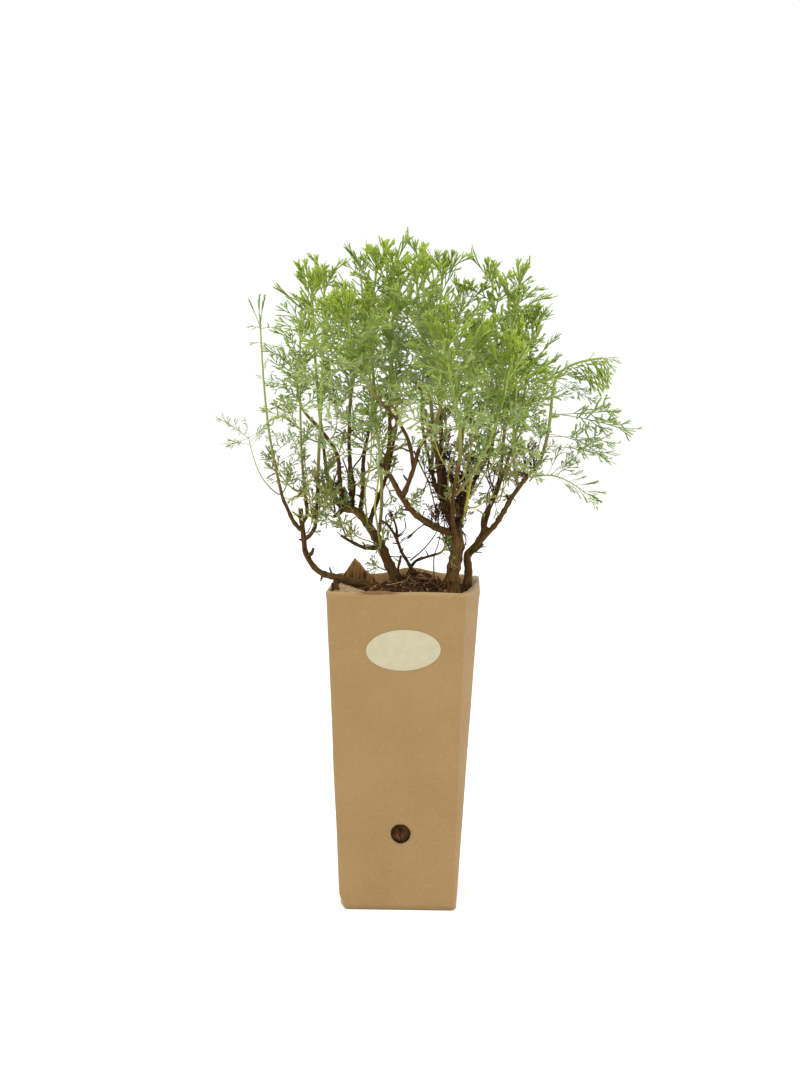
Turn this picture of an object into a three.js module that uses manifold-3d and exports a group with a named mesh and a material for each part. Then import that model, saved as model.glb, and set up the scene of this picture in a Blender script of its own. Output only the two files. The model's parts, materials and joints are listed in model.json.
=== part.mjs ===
// A potted artemisia alba: an aromatic bush with finely cut leaves on old woody stems, in a
// tall square pot folded from kraft board. Millimetres, +Z up. The origin is the centre of the
// pot's bottom, the oval label faces -Y and +X is to the label's right.

import * as THREE from "three";
import { mergeVertices } from "three/addons/utils/BufferGeometryUtils.js";
import Module from "manifold-3d";

const wasm = await Module();
wasm.setup();

// Clearance between neighbouring pieces.
const GAP = 0.3;

// The pot: a square tube that widens upwards and leans a little to the right.
const POT_HEIGHT = 193;
const HALF_BOTTOM = 34.5;
const HALF_TOP = 44;
const TOP_SHIFT = 3;
const WALL = 1.8;
const FLOOR = 2;
const FOOT_CHAMFER = 1;
const CORNER_RADIUS = 3;
// The front right corner is a flat fold: what it takes of the front wall and of the right wall,
// at the bottom and at the rim.
const FOLD_FRONT = [2, 8];
const FOLD_SIDE = [3, 15];
const SIDE_STEPS = 5;
const CORNER_STEPS = 3;

// The drain hole low on the front wall.
const DRAIN = { x: 2, z: 47, radius: 6 };

// The oval label on the front wall.
const LABEL = { x: 4, z: 158, width: 44, height: 24.5, thick: 0.4, tilt: 2, segments: 20 };

// The ear of the inner fold that stands up at the back left: its foot line from above, with
// the height of its top edge at each point.
const EAR_THICK = 1.4;
const EAR_FOOT_Z = 186;
const EAR = [
  [-42.2, 15, 194],
  [-36, 12, 196.5],
  [-29, 6, 207.5],
  [-22, 0, 201],
  [-7, -9, 190.5],
];

// The flap folded in over the soil at the front left. Its inner edge rises, most at the left.
const FLAP = { left: -38, right: -14, reach: 16, thick: 1.3, z: 190.8, riseLeft: 4.5, riseRight: 0 };

// The lap seam glued on the back wall.
const SEAM = { x: 26, width: 15, thick: 0.9, low: 3, high: 189 };

// The soil's top: its mean height, and the swell towards the middle of the pot.
const SOIL_TOP = 187.6;
const SOIL_SWELL = 1.6;
const SOIL_RINGS = 4;
const STEM_HOLE_DEPTH = 12;

// A woody limb: its radius at the root and at the tip, and its points from root to tip.
const limb = (rootRadius, tipRadius, ...route) => ({ rootRadius, tipRadius, route });

// The wood. A branch starts inside the limb that carries it.
const WOOD = {
  left_stem: {
    colour: "#5d4526",
    limbs: {
      main: limb(
        2, 1.5,
        [-16, -14, 178], [-16, -14, 190.5], [-21, -14, 194], [-27, -13, 194.5], [-36, -9, 197],
        [-45, -3, 198], [-50, 0, 200], [-54, 1, 204], [-58, 2, 211], [-59, 2, 219], [-60, 2, 228],
        [-61, 2, 238],
      ),
      outer: limb(
        1.2, 0.9,
        [-61, 2, 225], [-65, 0, 230], [-68, -2, 237], [-71, -3, 244], [-73, -5, 253],
      ),
      inner: limb(
        1.2, 0.9,
        [-59, 2, 219], [-55, 1, 222], [-52, 0, 227], [-51, -1, 236], [-50, -3, 254],
      ),
      upper: limb(1.2, 0.9, [-60, 2, 229], [-57, 3, 235], [-58, 4, 243], [-59, 5, 252]),
      spur: limb(1.2, 0.8, [-57, 2, 209], [-54, 0, 211], [-53, -1, 214]),
    },
  },
  middle_stem: {
    colour: "#55401f",
    limbs: {
      main: limb(
        3.6, 2.2,
        [-1, 2, 178], [-1, 2, 190.5], [-3.5, 2, 197], [-8, 3, 206], [-12, 4, 215], [-18, 5, 225],
        [-23, 6, 232], [-28, 7, 236.5], [-37, 7, 238],
      ),
      upright: limb(
        1.5, 1,
        [-30, 7, 237], [-30, 9, 246], [-31, 10, 259], [-32, 12, 275], [-32, 13, 290],
      ),
      left: limb(
        1.5, 0.9,
        [-33, 7, 237], [-36, 4, 245], [-37, 0, 258], [-38, -2, 270], [-45, -3, 282], [-56, 0, 294],
      ),
      far: limb(1.4, 0.9, [-36, 7, 238], [-43, 12, 246], [-47, 21, 262], [-50, 28, 281]),
      drooping: limb(1.3, 0.8, [-15, 4, 214], [-22, -4, 215], [-29, -11, 219], [-35, -14, 223]),
      rear: limb(1.5, 0.9, [-25, 6, 234], [-24, 15, 249], [-24, 23, 267], [-20, 30, 290]),
      hidden: limb(1.5, 0.9, [-20, 5, 227], [-16, 18, 240], [-10, 33, 258], [-6, 44, 280]),
      knot: limb(1.6, 1, [-35, 7, 238], [-39, 5, 234], [-41, 4, 233]),
    },
  },
  dead_twigs: {
    colour: "#4d3a22",
    limbs: {
      stump: limb(5, 4, [6, -5, 178], [6, -5, 184], [6, -5, 190.5]),
      bent: limb(
        1.2, 0.7,
        [7, -5, 187], [8, -6, 199], [5, -7, 206], [1, -8, 213], [-2, -9, 221], [-7, -10, 229],
        [-11, -11, 232],
      ),
      fork: limb(0.9, 0.6, [-1.5, -9, 219], [-2, -6, 226], [-4, -5, 233]),
      right: limb(1.1, 0.7, [6, -3, 188], [5, 2, 199], [9, 2, 206], [15, 1, 208.5], [23, 0, 211]),
      short: limb(1, 0.7, [3.5, -6, 187], [-1, -11, 199], [1, -14, 211]),
    },
  },
  main_trunk: {
    colour: "#594225",
    limbs: {
      trunk: limb(
        4.4, 3.4,
        [32, -8, 178], [32, -8, 188], [32, -8, 200], [34, -8, 210], [35, -7, 218], [34, -6, 224],
        [33, -5, 230],
      ),
      left: limb(
        2.2, 1,
        [33, -6, 224], [26, -9, 226], [18, -12, 230], [9, -16, 237], [2, -18, 246], [-4, -18, 257],
        [-8, -16, 264], [-6, -12, 277], [-6, -9, 300],
      ),
      left_fork: limb(
        1.5, 0.9,
        [2, -18, 246], [5, -19, 253], [9, -20, 264], [13, -23, 277], [19, -26, 286],
      ),
      left_cross: limb(1.2, 0.8, [9, -20, 264], [6, -23, 280], [-1, -27, 293], [-9, -30, 302]),
      pale: limb(2.6, 1.5, [33, -5, 227], [29, -2, 237], [25, 0, 251], [23, 2, 266], [20, 5, 285]),
      dark: limb(1.7, 1, [32, -3, 229], [28, 7, 248], [25, 13, 267], [24, 17, 292], [23, 20, 313]),
      right: limb(1.6, 0.9, [35, -5, 226], [36, 1, 240], [35, 2, 259], [37, 0, 279]),
      far_right: limb(
        1.6, 0.9,
        [36, -5, 228], [40, 9, 245], [47, 17, 260], [54, 22, 272], [58, 26, 292],
      ),
      front: limb(1.5, 0.9, [33, -8, 222], [32, -18, 234], [33, -28, 250], [36, -36, 268]),
      hidden: limb(1.6, 0.9, [33, -5, 222], [28, 12, 234], [20, 28, 252], [14, 40, 274]),
    },
  },
  right_stem: {
    colour: "#5b4427",
    limbs: {
      main: limb(
        2.8, 2,
        [40.3, 10, 178], [40.3, 10, 190.5], [41, 10, 196], [41, 9.5, 202], [40.5, 9, 209],
        [47, 9, 217], [52, 10, 227],
      ),
      long: limb(1.7, 1.1, [47, 9, 217], [58, 7, 229], [68, 5, 246], [76, 3, 257], [83, 1, 265]),
      thin: limb(1.2, 0.8, [50, 10, 224], [50, 13, 232], [57, 16, 244], [62, 19, 258]),
      spur: limb(1.1, 0.7, [41, 9, 210], [46, 3, 213], [50, 0, 217]),
      hidden: limb(1.4, 0.9, [50, 10, 224], [54, 22, 238], [60, 34, 256], [62, 42, 276]),
    },
  },
};
const WOOD_SIDES = 6;
// Tube steps between two neighbouring points of a route.
const WOOD_STEPS = 1.5;

// The leafy shoots. Each grows from the named limb: at its end, or at the given share of its
// length. The tip is where the green stem ends. Leaves are counted as the model has them, and
// "low" is the share of the stem below the first leaf. A shoot that arches says how it leaves
// the wood, which way its end leans, how far it keeps both headings and its count of steps.
const SHOOTS = {
  // the long, nearly bare shoot on the far left
  far_left: { on: "left_stem.outer", tip: [-88, -8, 352], leaves: 4, low: 0.05, turn: 200, size: 0.5 },
  left_sprig: {
    on: "left_stem.outer", at: 0.8, tip: [-91, -9, 281],
    leaves: 3, low: 0.4, turn: 90, size: 0.5,
  },
  bright_left: { on: "left_stem.inner", tip: [-38, -30, 373], leaves: 4, low: 0.2, turn: 40 },
  left_low: {
    on: "left_stem.upper", tip: [-68, 20, 326],
    leaves: 4, low: 0.1, turn: 120, size: 0.85,
  },
  left_mid: {
    on: "middle_stem.left", tip: [-66, 4, 342],
    leaves: 3, low: 0.1, turn: 170, size: 0.85,
  },
  left_top: { on: "middle_stem.far", tip: [-61, 38, 374], leaves: 4, low: 0.1, turn: 10 },
  crown_left: { on: "middle_stem.upright", tip: [-15, 9, 386], leaves: 4, low: 0.2, turn: 250 },
  crown_rear: { on: "middle_stem.rear", tip: [-31, 46, 380], leaves: 3, low: 0.2, turn: 300 },
  rear_left: { on: "middle_stem.hidden", tip: [-12, 70, 352], leaves: 4, low: 0.1, turn: 80 },
  yellow_left: {
    on: "middle_stem.main", at: 0.62, tip: [-19, -30, 350],
    leaves: 4, low: 0.3, turn: 270,
  },
  crown_middle: { on: "main_trunk.left", tip: [2, -12, 389], leaves: 4, low: 0.15, turn: 330 },
  front_high: { on: "main_trunk.left_fork", tip: [15, -46, 376], leaves: 4, low: 0.15, turn: 100 },
  front_left: { on: "main_trunk.left_cross", tip: [-27, -57, 350], leaves: 4, low: 0.15, turn: 220 },
  crown_centre: { on: "main_trunk.pale", tip: [25, 0, 378], leaves: 4, low: 0.2, turn: 20 },
  crown_dark: { on: "main_trunk.dark", tip: [37, 34, 374], leaves: 3, low: 0.2, turn: 140 },
  front_bright: { on: "main_trunk.right", tip: [47, -40, 336], leaves: 3, low: 0.2, turn: 60 },
  crown_right: { on: "main_trunk.far_right", tip: [52, 40, 378], leaves: 3, low: 0.2, turn: 190 },
  high_right: {
    on: "main_trunk.far_right", at: 0.7, tip: [77, 6, 375],
    leaves: 4, low: 0.35, turn: 280,
  },
  front_middle: { on: "main_trunk.front", tip: [30, -64, 334], leaves: 4, low: 0.15, turn: 310 },
  front_right: { on: "main_trunk.front", at: 0.6, tip: [66, -46, 326], leaves: 4, low: 0.25, turn: 0 },
  rear_middle: { on: "main_trunk.hidden", tip: [12, 72, 346], leaves: 4, low: 0.1, turn: 150 },
  rear_high: { on: "main_trunk.hidden", at: 0.8, tip: [8, 44, 384], leaves: 3, low: 0.35, turn: 30 },
  arching_right: {
    on: "right_stem.long", tip: [126, -4, 330],
    leave: [0.39, 0, 1], lean: [1, 0, -0.55], bend: 0.6, steps: 10,
    leaves: 6, low: 0.02, turn: 90,
  },
  right_low: {
    on: "right_stem.long", at: 0.85, tip: [106, 9, 253],
    leave: [1, 0.2, 0.3], lean: [0.8, 0, -1], bend: 0.4,
    leaves: 3, low: 0.3, turn: 210, size: 0.6,
  },
  right_upper: {
    on: "right_stem.thin", tip: [80, 22, 350],
    leaves: 4, low: 0.2, turn: 240, size: 0.85,
  },
  right_front: {
    on: "right_stem.long", at: 0.72, tip: [70, -30, 330],
    leaves: 4, low: 0.25, turn: 160, size: 0.85,
  },
  right_rear: { on: "right_stem.hidden", tip: [70, 62, 344], leaves: 4, low: 0.1, turn: 50 },
  // small tufts low on the wood
  tuft_left: {
    on: "left_stem.inner", at: 0.45, tip: [-44, -10, 244],
    leaves: 2, low: 0.2, turn: 0, size: 0.5,
  },
  tuft_knot: {
    on: "middle_stem.upright", at: 0.25, tip: [-24, 0, 256],
    leaves: 2, low: 0.2, turn: 60, size: 0.4,
  },
  tuft_twig: { on: "dead_twigs.right", tip: [27, -2, 216], leaves: 2, low: 0.3, turn: 90, size: 0.45 },
  tuft_root: {
    on: "middle_stem.main", at: 0.32, tip: [-17, -5, 207],
    leaves: 2, low: 0.3, turn: 30, size: 0.4,
  },
  tuft_centre: {
    on: "main_trunk.left", at: 0.4, tip: [9, -25, 246],
    leaves: 2, low: 0.3, turn: 200, size: 0.45,
  },
};
const SHOOT_SIDES = 5;
const SHOOT_STEPS = 5;
const SHOOT_RADIUS_ROOT = 1.1;
const SHOOT_RADIUS_TIP = 0.65;
const SHOOT_COLOUR = "#8aa05a";
// How far along its length a shoot keeps its first and last heading, and how much the last
// heading turns to the sky.
const SHOOT_BEND = 0.36;
const SHOOT_RISE = 0.55;
// A side shoot leans this much along its limb, so it stands off the bark by its gap and by this
// share of its own radius.
const SIDE_LEAN = 0.9;
const SIDE_STANDOFF = 0.68;

// The leaves. They wind up the stem by the golden angle, get shorter and steeper towards the
// tip, and only every sixth leaf of the real plant is made.
const GOLDEN_TURN = 137.5;
const LEAF_EVERY = 6;
const LEAF_LENGTH = [46, 22];
const LEAF_PITCH = [74, 20];
const LEAF_CURL = [-38, 22];
const LEAF_THICK = 0.65;
const LEAF_RIB = 0.45;
const LOBE_ROOT = 1.3;
const LOBE_ANGLE = 50;
const LOBES_RIGHT = [[0.36, 0.3], [0.62, 0.28]];
const LOBES_LEFT = [[0.49, 0.32], [0.74, 0.22]];
// Turns tried in order, in degrees, until a leaf is clear of every other piece.
const TURNS = [0, 20, -20, 40, -40, 65, -65, 95, -95];

const radians = THREE.MathUtils.degToRad;
const lerp = THREE.MathUtils.lerp;
const vector = (p) => new THREE.Vector3(...p);

// A closed geometry as a solid that can be joined and cut.
function solidOf(geometry) {
  const bare = geometry.clone();
  bare.deleteAttribute("normal");
  bare.deleteAttribute("uv");
  const merged = mergeVertices(bare, 1e-4);
  return new wasm.Manifold(
    new wasm.Mesh({
      numProp: 3,
      vertProperties: merged.attributes.position.array,
      triVerts: new Uint32Array(merged.index.array),
    }),
  );
}

// The solid's faces as a named, coloured mesh.
function meshOf(name, solid, colour, roughness) {
  const faces = solid.getMesh();
  const geometry = new THREE.BufferGeometry();
  geometry.setAttribute("position", new THREE.BufferAttribute(faces.vertProperties, faces.numProp));
  geometry.setIndex(new THREE.BufferAttribute(faces.triVerts, 1));
  geometry.computeVertexNormals();
  const material = new THREE.MeshStandardMaterial({ color: colour, roughness, metalness: 0 });
  const mesh = new THREE.Mesh(geometry, material);
  mesh.name = name;
  return mesh;
}

// Moves every vertex of a geometry to the place that the rule gives for it.
function reshape(geometry, rule) {
  const position = geometry.attributes.position;
  for (let i = 0; i < position.count; i++) {
    const moved = rule(position.getX(i), position.getY(i), position.getZ(i));
    position.setXYZ(i, moved.x, moved.y, moved.z);
  }
  return geometry;
}

// The pot's outline at a height, seen from above, drawn in by inset: three rounded corners and
// the flat fold at the front right, with a few points on each side between them.
function potOutline(z, inset) {
  const share = z / POT_HEIGHT;
  const half = lerp(HALF_BOTTOM, HALF_TOP, share) - inset;
  const centre = TOP_SHIFT * share;
  const radius = Math.max(CORNER_RADIUS - inset, 0.8);
  const arcs = [[1, 1], [-1, 1], [-1, -1]].map(([x, y], k) =>
    Array.from({ length: CORNER_STEPS + 1 }, (_, i) => {
      const angle = (k + i / CORNER_STEPS) * (Math.PI / 2);
      return new THREE.Vector2(
        centre + x * (half - radius) + radius * Math.cos(angle),
        y * (half - radius) + radius * Math.sin(angle),
      );
    }),
  );
  const frontTaken = Math.max(lerp(...FOLD_FRONT, share) - inset * 0.4, 1);
  const sideTaken = Math.max(lerp(...FOLD_SIDE, share) - inset * 0.4, 1);
  const crease = new THREE.Vector2(centre + half - frontTaken, -half);
  const edge = new THREE.Vector2(centre + half, sideTaken - half);
  arcs.push(Array.from({ length: CORNER_STEPS + 1 }, (_, i) => crease.clone().lerp(edge, i / CORNER_STEPS)));
  return arcs.flatMap((arc, k) => {
    const from = arc[CORNER_STEPS];
    const to = arcs[(k + 1) % 4][0];
    const side = Array.from({ length: SIDE_STEPS }, (_, i) =>
      from.clone().lerp(to, (i + 1) / (SIDE_STEPS + 1)),
    );
    return [...arc, ...side];
  });
}

// A closed skin over a stack of rings with equally many points. It starts and ends at a
// centre point.
function skinOver(bottomCentre, rings, topCentre) {
  const sides = rings[0].length;
  const profile = [bottomCentre, ...rings, topCentre].map(
    (_, j) => new THREE.Vector2(j % (rings.length + 1) ? 1 : 0, j),
  );
  const geometry = new THREE.LatheGeometry(profile, sides);
  const position = geometry.attributes.position;
  for (let side = 0; side <= sides; side++) {
    profile.forEach((_, j) => {
      const ring = rings[j - 1];
      const point = ring ? ring[side % sides] : j ? topCentre : bottomCentre;
      position.setXYZ(side * profile.length + j, point.x, point.y, point.z);
    });
  }
  return geometry;
}

// The rim isn't level: the back edge stands a little higher and has a soft hump, and the back
// right corner is worn down.
function rimHeight(point) {
  const back = THREE.MathUtils.smoothstep(point.y, -30, 40);
  const hump = 4 * Math.exp(-(((point.x - 4) / 13) ** 2)) * THREE.MathUtils.smoothstep(point.y, 30, 44);
  const worn = 3 * THREE.MathUtils.smoothstep(point.x, 37, 46) * THREE.MathUtils.smoothstep(point.y, 34, 43);
  return POT_HEIGHT - 0.8 + 0.3 * Math.sin(point.x / 9) + 1.9 * back + hump - worn;
}

const level = (outline, z) => outline.map((p) => new THREE.Vector3(p.x, p.y, z));
const rim = (inset) => potOutline(POT_HEIGHT, inset).map((p) => new THREE.Vector3(p.x, p.y, rimHeight(p)));

// A bent panel: a box whose length, height and thickness are led by the rule.
function panel(steps, rule) {
  return solidOf(reshape(new THREE.BoxGeometry(1, 1, 1, steps, 1, 1), rule));
}

// The ear's foot line, or the one beside it at a distance across.
function earPoint(share, top, across) {
  const at = share * (EAR.length - 1);
  const [x, y, z] = EAR[Math.round(at)];
  const a = EAR[0];
  const b = EAR[EAR.length - 1];
  const along = new THREE.Vector2(b[0] - a[0], b[1] - a[1]).normalize();
  return new THREE.Vector3(x - along.y * across, y + along.x * across, top ? z : EAR_FOOT_Z);
}

function ear(growth) {
  const thick = EAR_THICK + 2 * growth;
  return panel(EAR.length - 1, (u, v, w) => {
    const point = earPoint(u + 0.5, v > 0, -w * thick);
    return v > 0 ? point : point.setZ(point.z - growth);
  });
}

function flap(growth) {
  const front = -(lerp(HALF_BOTTOM, HALF_TOP, FLAP.z / POT_HEIGHT) - WALL / 2);
  return solidOf(
    reshape(new THREE.BoxGeometry(1, 1, 1), (u, v, w) => {
      const share = v + 0.5;
      const y = front + share * (FLAP.reach + growth);
      const slant = share * 7;
      const x = u < 0 ? FLAP.left - growth + slant / 2 : FLAP.right + growth - slant;
      const rise = share * lerp(FLAP.riseLeft, FLAP.riseRight, u + 0.5);
      return new THREE.Vector3(x, y, FLAP.z + rise + w * (FLAP.thick + 2 * growth));
    }),
  );
}

function potSolid() {
  const walls = solidOf(
    skinOver(
      new THREE.Vector3(0, 0, 0),
      [
        level(potOutline(0, FOOT_CHAMFER), 0),
        level(potOutline(FOOT_CHAMFER, 0), FOOT_CHAMFER),
        rim(0),
        rim(WALL),
        level(potOutline(FLOOR, WALL), FLOOR),
      ],
      new THREE.Vector3(0, 0, FLOOR),
    ),
  );
  const drill = new THREE.CylinderGeometry(DRAIN.radius, DRAIN.radius, 12, 24);
  drill.translate(DRAIN.x, -frontHalf(DRAIN.z), DRAIN.z);
  return walls.add(ear(0)).add(flap(0)).add(seamSolid()).subtract(solidOf(drill));
}

// How far the front wall stands from the middle at a height.
function frontHalf(z) {
  return lerp(HALF_BOTTOM, HALF_TOP, z / POT_HEIGHT);
}

function seamSolid() {
  return solidOf(
    reshape(new THREE.BoxGeometry(1, 1, 1), (u, v, w) => {
      const z = v < 0 ? SEAM.low : SEAM.high;
      const share = z / POT_HEIGHT;
      const x = SEAM.x * lerp(HALF_BOTTOM / HALF_TOP, 1, share) + TOP_SHIFT * share + u * SEAM.width;
      const y = frontHalf(z) + (w > 0 ? SEAM.thick : -WALL / 2);
      return new THREE.Vector3(x, y, z);
    }),
  );
}

function labelSolid() {
  const oval = new THREE.Shape();
  oval.absellipse(0, 0, LABEL.width / 2, LABEL.height / 2, 0, 2 * Math.PI);
  const geometry = new THREE.ExtrudeGeometry(oval, {
    depth: LABEL.thick,
    bevelEnabled: false,
    curveSegments: LABEL.segments,
  });
  const lean = Math.atan((HALF_TOP - HALF_BOTTOM) / POT_HEIGHT);
  geometry.rotateZ(radians(LABEL.tilt));
  geometry.translate(0, 0, GAP / Math.cos(lean));
  geometry.rotateX(Math.PI / 2 + lean);
  geometry.translate(LABEL.x, -frontHalf(LABEL.z), LABEL.z);
  return solidOf(geometry);
}

// The soil's surface: swollen in the middle, with low bumps.
function soilHeight(x, y) {
  const centred = Math.max(0, 1 - (x * x + y * y) / (HALF_TOP * HALF_TOP));
  const bumps = 0.5 * Math.sin(x / 6.3 + 1) * Math.cos(y / 5.1) + 0.35 * Math.sin((x + y) / 3.7);
  return SOIL_TOP + SOIL_SWELL * centred + bumps;
}

function soilSolid(holes) {
  const inset = WALL + GAP;
  const wallTop = potOutline(SOIL_TOP, inset);
  const rings = [level(potOutline(FLOOR + GAP, inset), FLOOR + GAP)];
  for (let k = SOIL_RINGS; k > 0; k--) {
    const share = k / SOIL_RINGS;
    const ring = wallTop.map((p) => {
      const x = TOP_SHIFT + (p.x - TOP_SHIFT) * share;
      const y = p.y * share;
      return new THREE.Vector3(x, y, soilHeight(x, y));
    });
    rings.push(k === SOIL_RINGS ? wallTop.map((p) => new THREE.Vector3(p.x, p.y, SOIL_TOP)) : ring);
  }
  const soil = solidOf(
    skinOver(
      new THREE.Vector3(0, 0, FLOOR + GAP),
      rings,
      new THREE.Vector3(TOP_SHIFT, 0, soilHeight(TOP_SHIFT, 0)),
    ),
  );
  return [...holes, ear(GAP), flap(GAP)].reduce((body, tool) => body.subtract(tool), soil);
}

// A round tube of changing radius along a curve.
function taperedTube(curve, rootRadius, tipRadius, sides, steps) {
  const frames = curve.computeFrenetFrames(steps);
  return reshape(new THREE.CylinderGeometry(1, 1, 1, sides, steps), (x, y, z) => {
    const step = Math.round((y + 0.5) * steps);
    const radius = lerp(rootRadius, tipRadius, step / steps);
    return curve
      .getPointAt(step / steps)
      .addScaledVector(frames.normals[step], x * radius)
      .addScaledVector(frames.binormals[step], -z * radius);
  });
}

const limbCurve = (row) => new THREE.CatmullRomCurve3(row.route.map(vector), false, "centripetal");

function limbSolid(row) {
  const steps = Math.ceil((row.route.length - 1) * WOOD_STEPS);
  return solidOf(taperedTube(limbCurve(row), row.rootRadius, row.tipRadius, WOOD_SIDES, steps));
}

function woodSolid(piece) {
  return Object.values(piece.limbs)
    .map(limbSolid)
    .reduce((whole, branch) => whole.add(branch));
}

// The plain hole in the soil for the foot of a woody piece.
function holeFor(piece) {
  const foot = Object.values(piece.limbs)[0];
  const [x, y, z] = foot.route[0];
  const radius = foot.rootRadius + 2 * GAP;
  const hole = new THREE.CylinderGeometry(radius, radius, 2 * STEM_HOLE_DEPTH, 10);
  hole.rotateX(Math.PI / 2);
  hole.translate(x, y, z - GAP + STEM_HOLE_DEPTH);
  return solidOf(hole);
}

// The curve of a shoot's green stem, from its seat on the wood to its tip.
function shootCurve(shoot) {
  const [pieceName, limbName] = shoot.on.split(".");
  const carrier = WOOD[pieceName].limbs[limbName];
  const curve = limbCurve(carrier);
  const at = shoot.at ?? 1;
  const tip = vector(shoot.tip);
  const seat = curve.getPointAt(at);
  const along = curve.getTangentAt(at);
  const wanted = tip.clone().sub(seat).normalize();
  if (shoot.at) {
    wanted.addScaledVector(along, -wanted.dot(along)).normalize();
    const bark = lerp(carrier.rootRadius, carrier.tipRadius, at);
    const stem = SHOOT_RADIUS_ROOT * Math.sqrt(shoot.size ?? 1);
    seat.addScaledVector(wanted, bark + GAP + SIDE_STANDOFF * stem);
    along.multiplyScalar(SIDE_LEAN).add(wanted).normalize();
  } else {
    seat.addScaledVector(along, shoot.leave ? 3 * GAP : GAP);
  }
  if (shoot.leave) along.copy(vector(shoot.leave)).normalize();
  const reach = tip.distanceTo(seat) * (shoot.bend ?? SHOOT_BEND);
  const up = vector(shoot.lean ?? [0, 0, 1]);
  const rise = tip.clone().sub(seat).normalize().lerp(up, SHOOT_RISE).normalize();
  return new THREE.CubicBezierCurve3(
    seat,
    seat.clone().addScaledVector(along, reach),
    tip.clone().addScaledVector(rise, -reach),
    tip,
  );
}

// Where one leaf of a shoot sits and how it is shaped. Leaves are numbered up the stem as on
// the real plant; the model has every sixth and the last.
function leafAt(shoot, curve, number, turn) {
  const all = shoot.leaves * LEAF_EVERY;
  const share = number / all;
  const at = lerp(shoot.low, 1, share);
  const along = curve.getTangentAt(at);
  const across = new THREE.Vector3(0, 1, 0);
  across.addScaledVector(along, -across.dot(along)).normalize();
  const third = along.clone().cross(across);
  const azimuth = radians(shoot.turn + number * GOLDEN_TURN + turn);
  const out = across.multiplyScalar(Math.cos(azimuth)).addScaledVector(third, Math.sin(azimuth));
  return {
    root: curve.getPointAt(at),
    along,
    out,
    length: lerp(LEAF_LENGTH[0], LEAF_LENGTH[1], share) * (shoot.size ?? 1),
    pitch: radians(lerp(LEAF_PITCH[0], LEAF_PITCH[1], share ** 1.5)),
    curl: radians(lerp(LEAF_CURL[0], LEAF_CURL[1], share)),
  };
}

// A leaf's outline in its own plane: a thin rib with pointed lobes cut to it on both sides.
function leafOutline(length, growth) {
  const rib = LEAF_RIB + growth;
  const lean = radians(LOBE_ANGLE);
  const lobe = ([at, reach], side) => {
    const u = at * length;
    const v = side * rib;
    const root = LOBE_ROOT + 2 * growth;
    const tip = reach * length + growth;
    return [
      new THREE.Vector2(u - growth, v),
      new THREE.Vector2(u + tip * Math.cos(lean), side * (rib + tip * Math.sin(lean))),
      new THREE.Vector2(u - growth + root, v),
    ];
  };
  return [
    new THREE.Vector2(0, -rib),
    ...LOBES_RIGHT.flatMap((entry) => lobe(entry, -1)),
    new THREE.Vector2(length + growth, 0),
    ...LOBES_LEFT.flatMap((entry) => lobe(entry, 1)).reverse(),
    new THREE.Vector2(0, rib),
  ];
}

// A leaf as a thin blade, arched away from the stem. Growth makes it fatter all round.
function leafSolid(leaf, growth = 0) {
  const thick = LEAF_THICK + 2 * growth;
  const blade = new THREE.ExtrudeGeometry(new THREE.Shape(leafOutline(leaf.length, growth)), {
    depth: thick,
    bevelEnabled: false,
  });
  const side = leaf.along.clone().cross(leaf.out);
  const radius = leaf.length / leaf.curl;
  return solidOf(
    reshape(blade, (u, v, w) => {
      const angle = leaf.pitch + (leaf.curl * u) / leaf.length;
      const heading = leaf.along.clone().multiplyScalar(Math.cos(angle));
      heading.addScaledVector(leaf.out, Math.sin(angle));
      return leaf.root
        .clone()
        .addScaledVector(leaf.along, radius * (Math.sin(angle) - Math.sin(leaf.pitch)))
        .addScaledVector(leaf.out, radius * (Math.cos(leaf.pitch) - Math.cos(angle)))
        .addScaledVector(side, v)
        .addScaledVector(heading.cross(side), w - thick / 2);
    }),
  );
}

// Whether two boxes around solids come near each other.
function boxesMeet(a, b) {
  return [0, 1, 2].every((k) => a.min[k] <= b.max[k] && b.min[k] <= a.max[k]);
}

function isClear(solid, owner, others) {
  const box = solid.boundingBox();
  return others
    .filter((other) => other.owner !== owner && boxesMeet(box, other.box))
    .every((other) => solid.intersect(other.solid).isEmpty());
}

const pieces = new Map();
const standing = [];
function stand(owner, solid) {
  standing.push({ owner, solid, box: solid.boundingBox() });
}

for (const [name, piece] of Object.entries(WOOD)) {
  pieces.set(name, woodSolid(piece));
}
pieces.set("pot", potSolid());
pieces.set("label", labelSolid());
pieces.set("soil", soilSolid(Object.values(WOOD).map(holeFor)));
pieces.forEach((solid, name) => stand(name, solid));

const curves = new Map();
for (const [name, shoot] of Object.entries(SHOOTS)) {
  const curve = shootCurve(shoot);
  const slim = Math.sqrt(shoot.size ?? 1);
  const stem = solidOf(
    taperedTube(
      curve,
      SHOOT_RADIUS_ROOT * slim,
      SHOOT_RADIUS_TIP * slim,
      SHOOT_SIDES,
      shoot.steps ?? SHOOT_STEPS,
    ),
  );
  curves.set(name, curve);
  pieces.set(name, stem);
  stand(name, stem);
}

// Leaves go on shoot by shoot, each turned about its stem until it is clear of what stands.
for (const [name, shoot] of Object.entries(SHOOTS)) {
  const numbers = Array.from({ length: shoot.leaves }, (_, i) => (i + 1) * LEAF_EVERY);
  for (const number of numbers) {
    const turn = TURNS.find((extra) => {
      const fat = leafSolid(leafAt(shoot, curves.get(name), number, extra), GAP);
      return isClear(fat, name, standing);
    });
    if (turn === undefined) continue;
    const leaf = leafSolid(leafAt(shoot, curves.get(name), number, turn));
    pieces.set(name, pieces.get(name).add(leaf));
    stand(name, leaf);
  }
}

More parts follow.
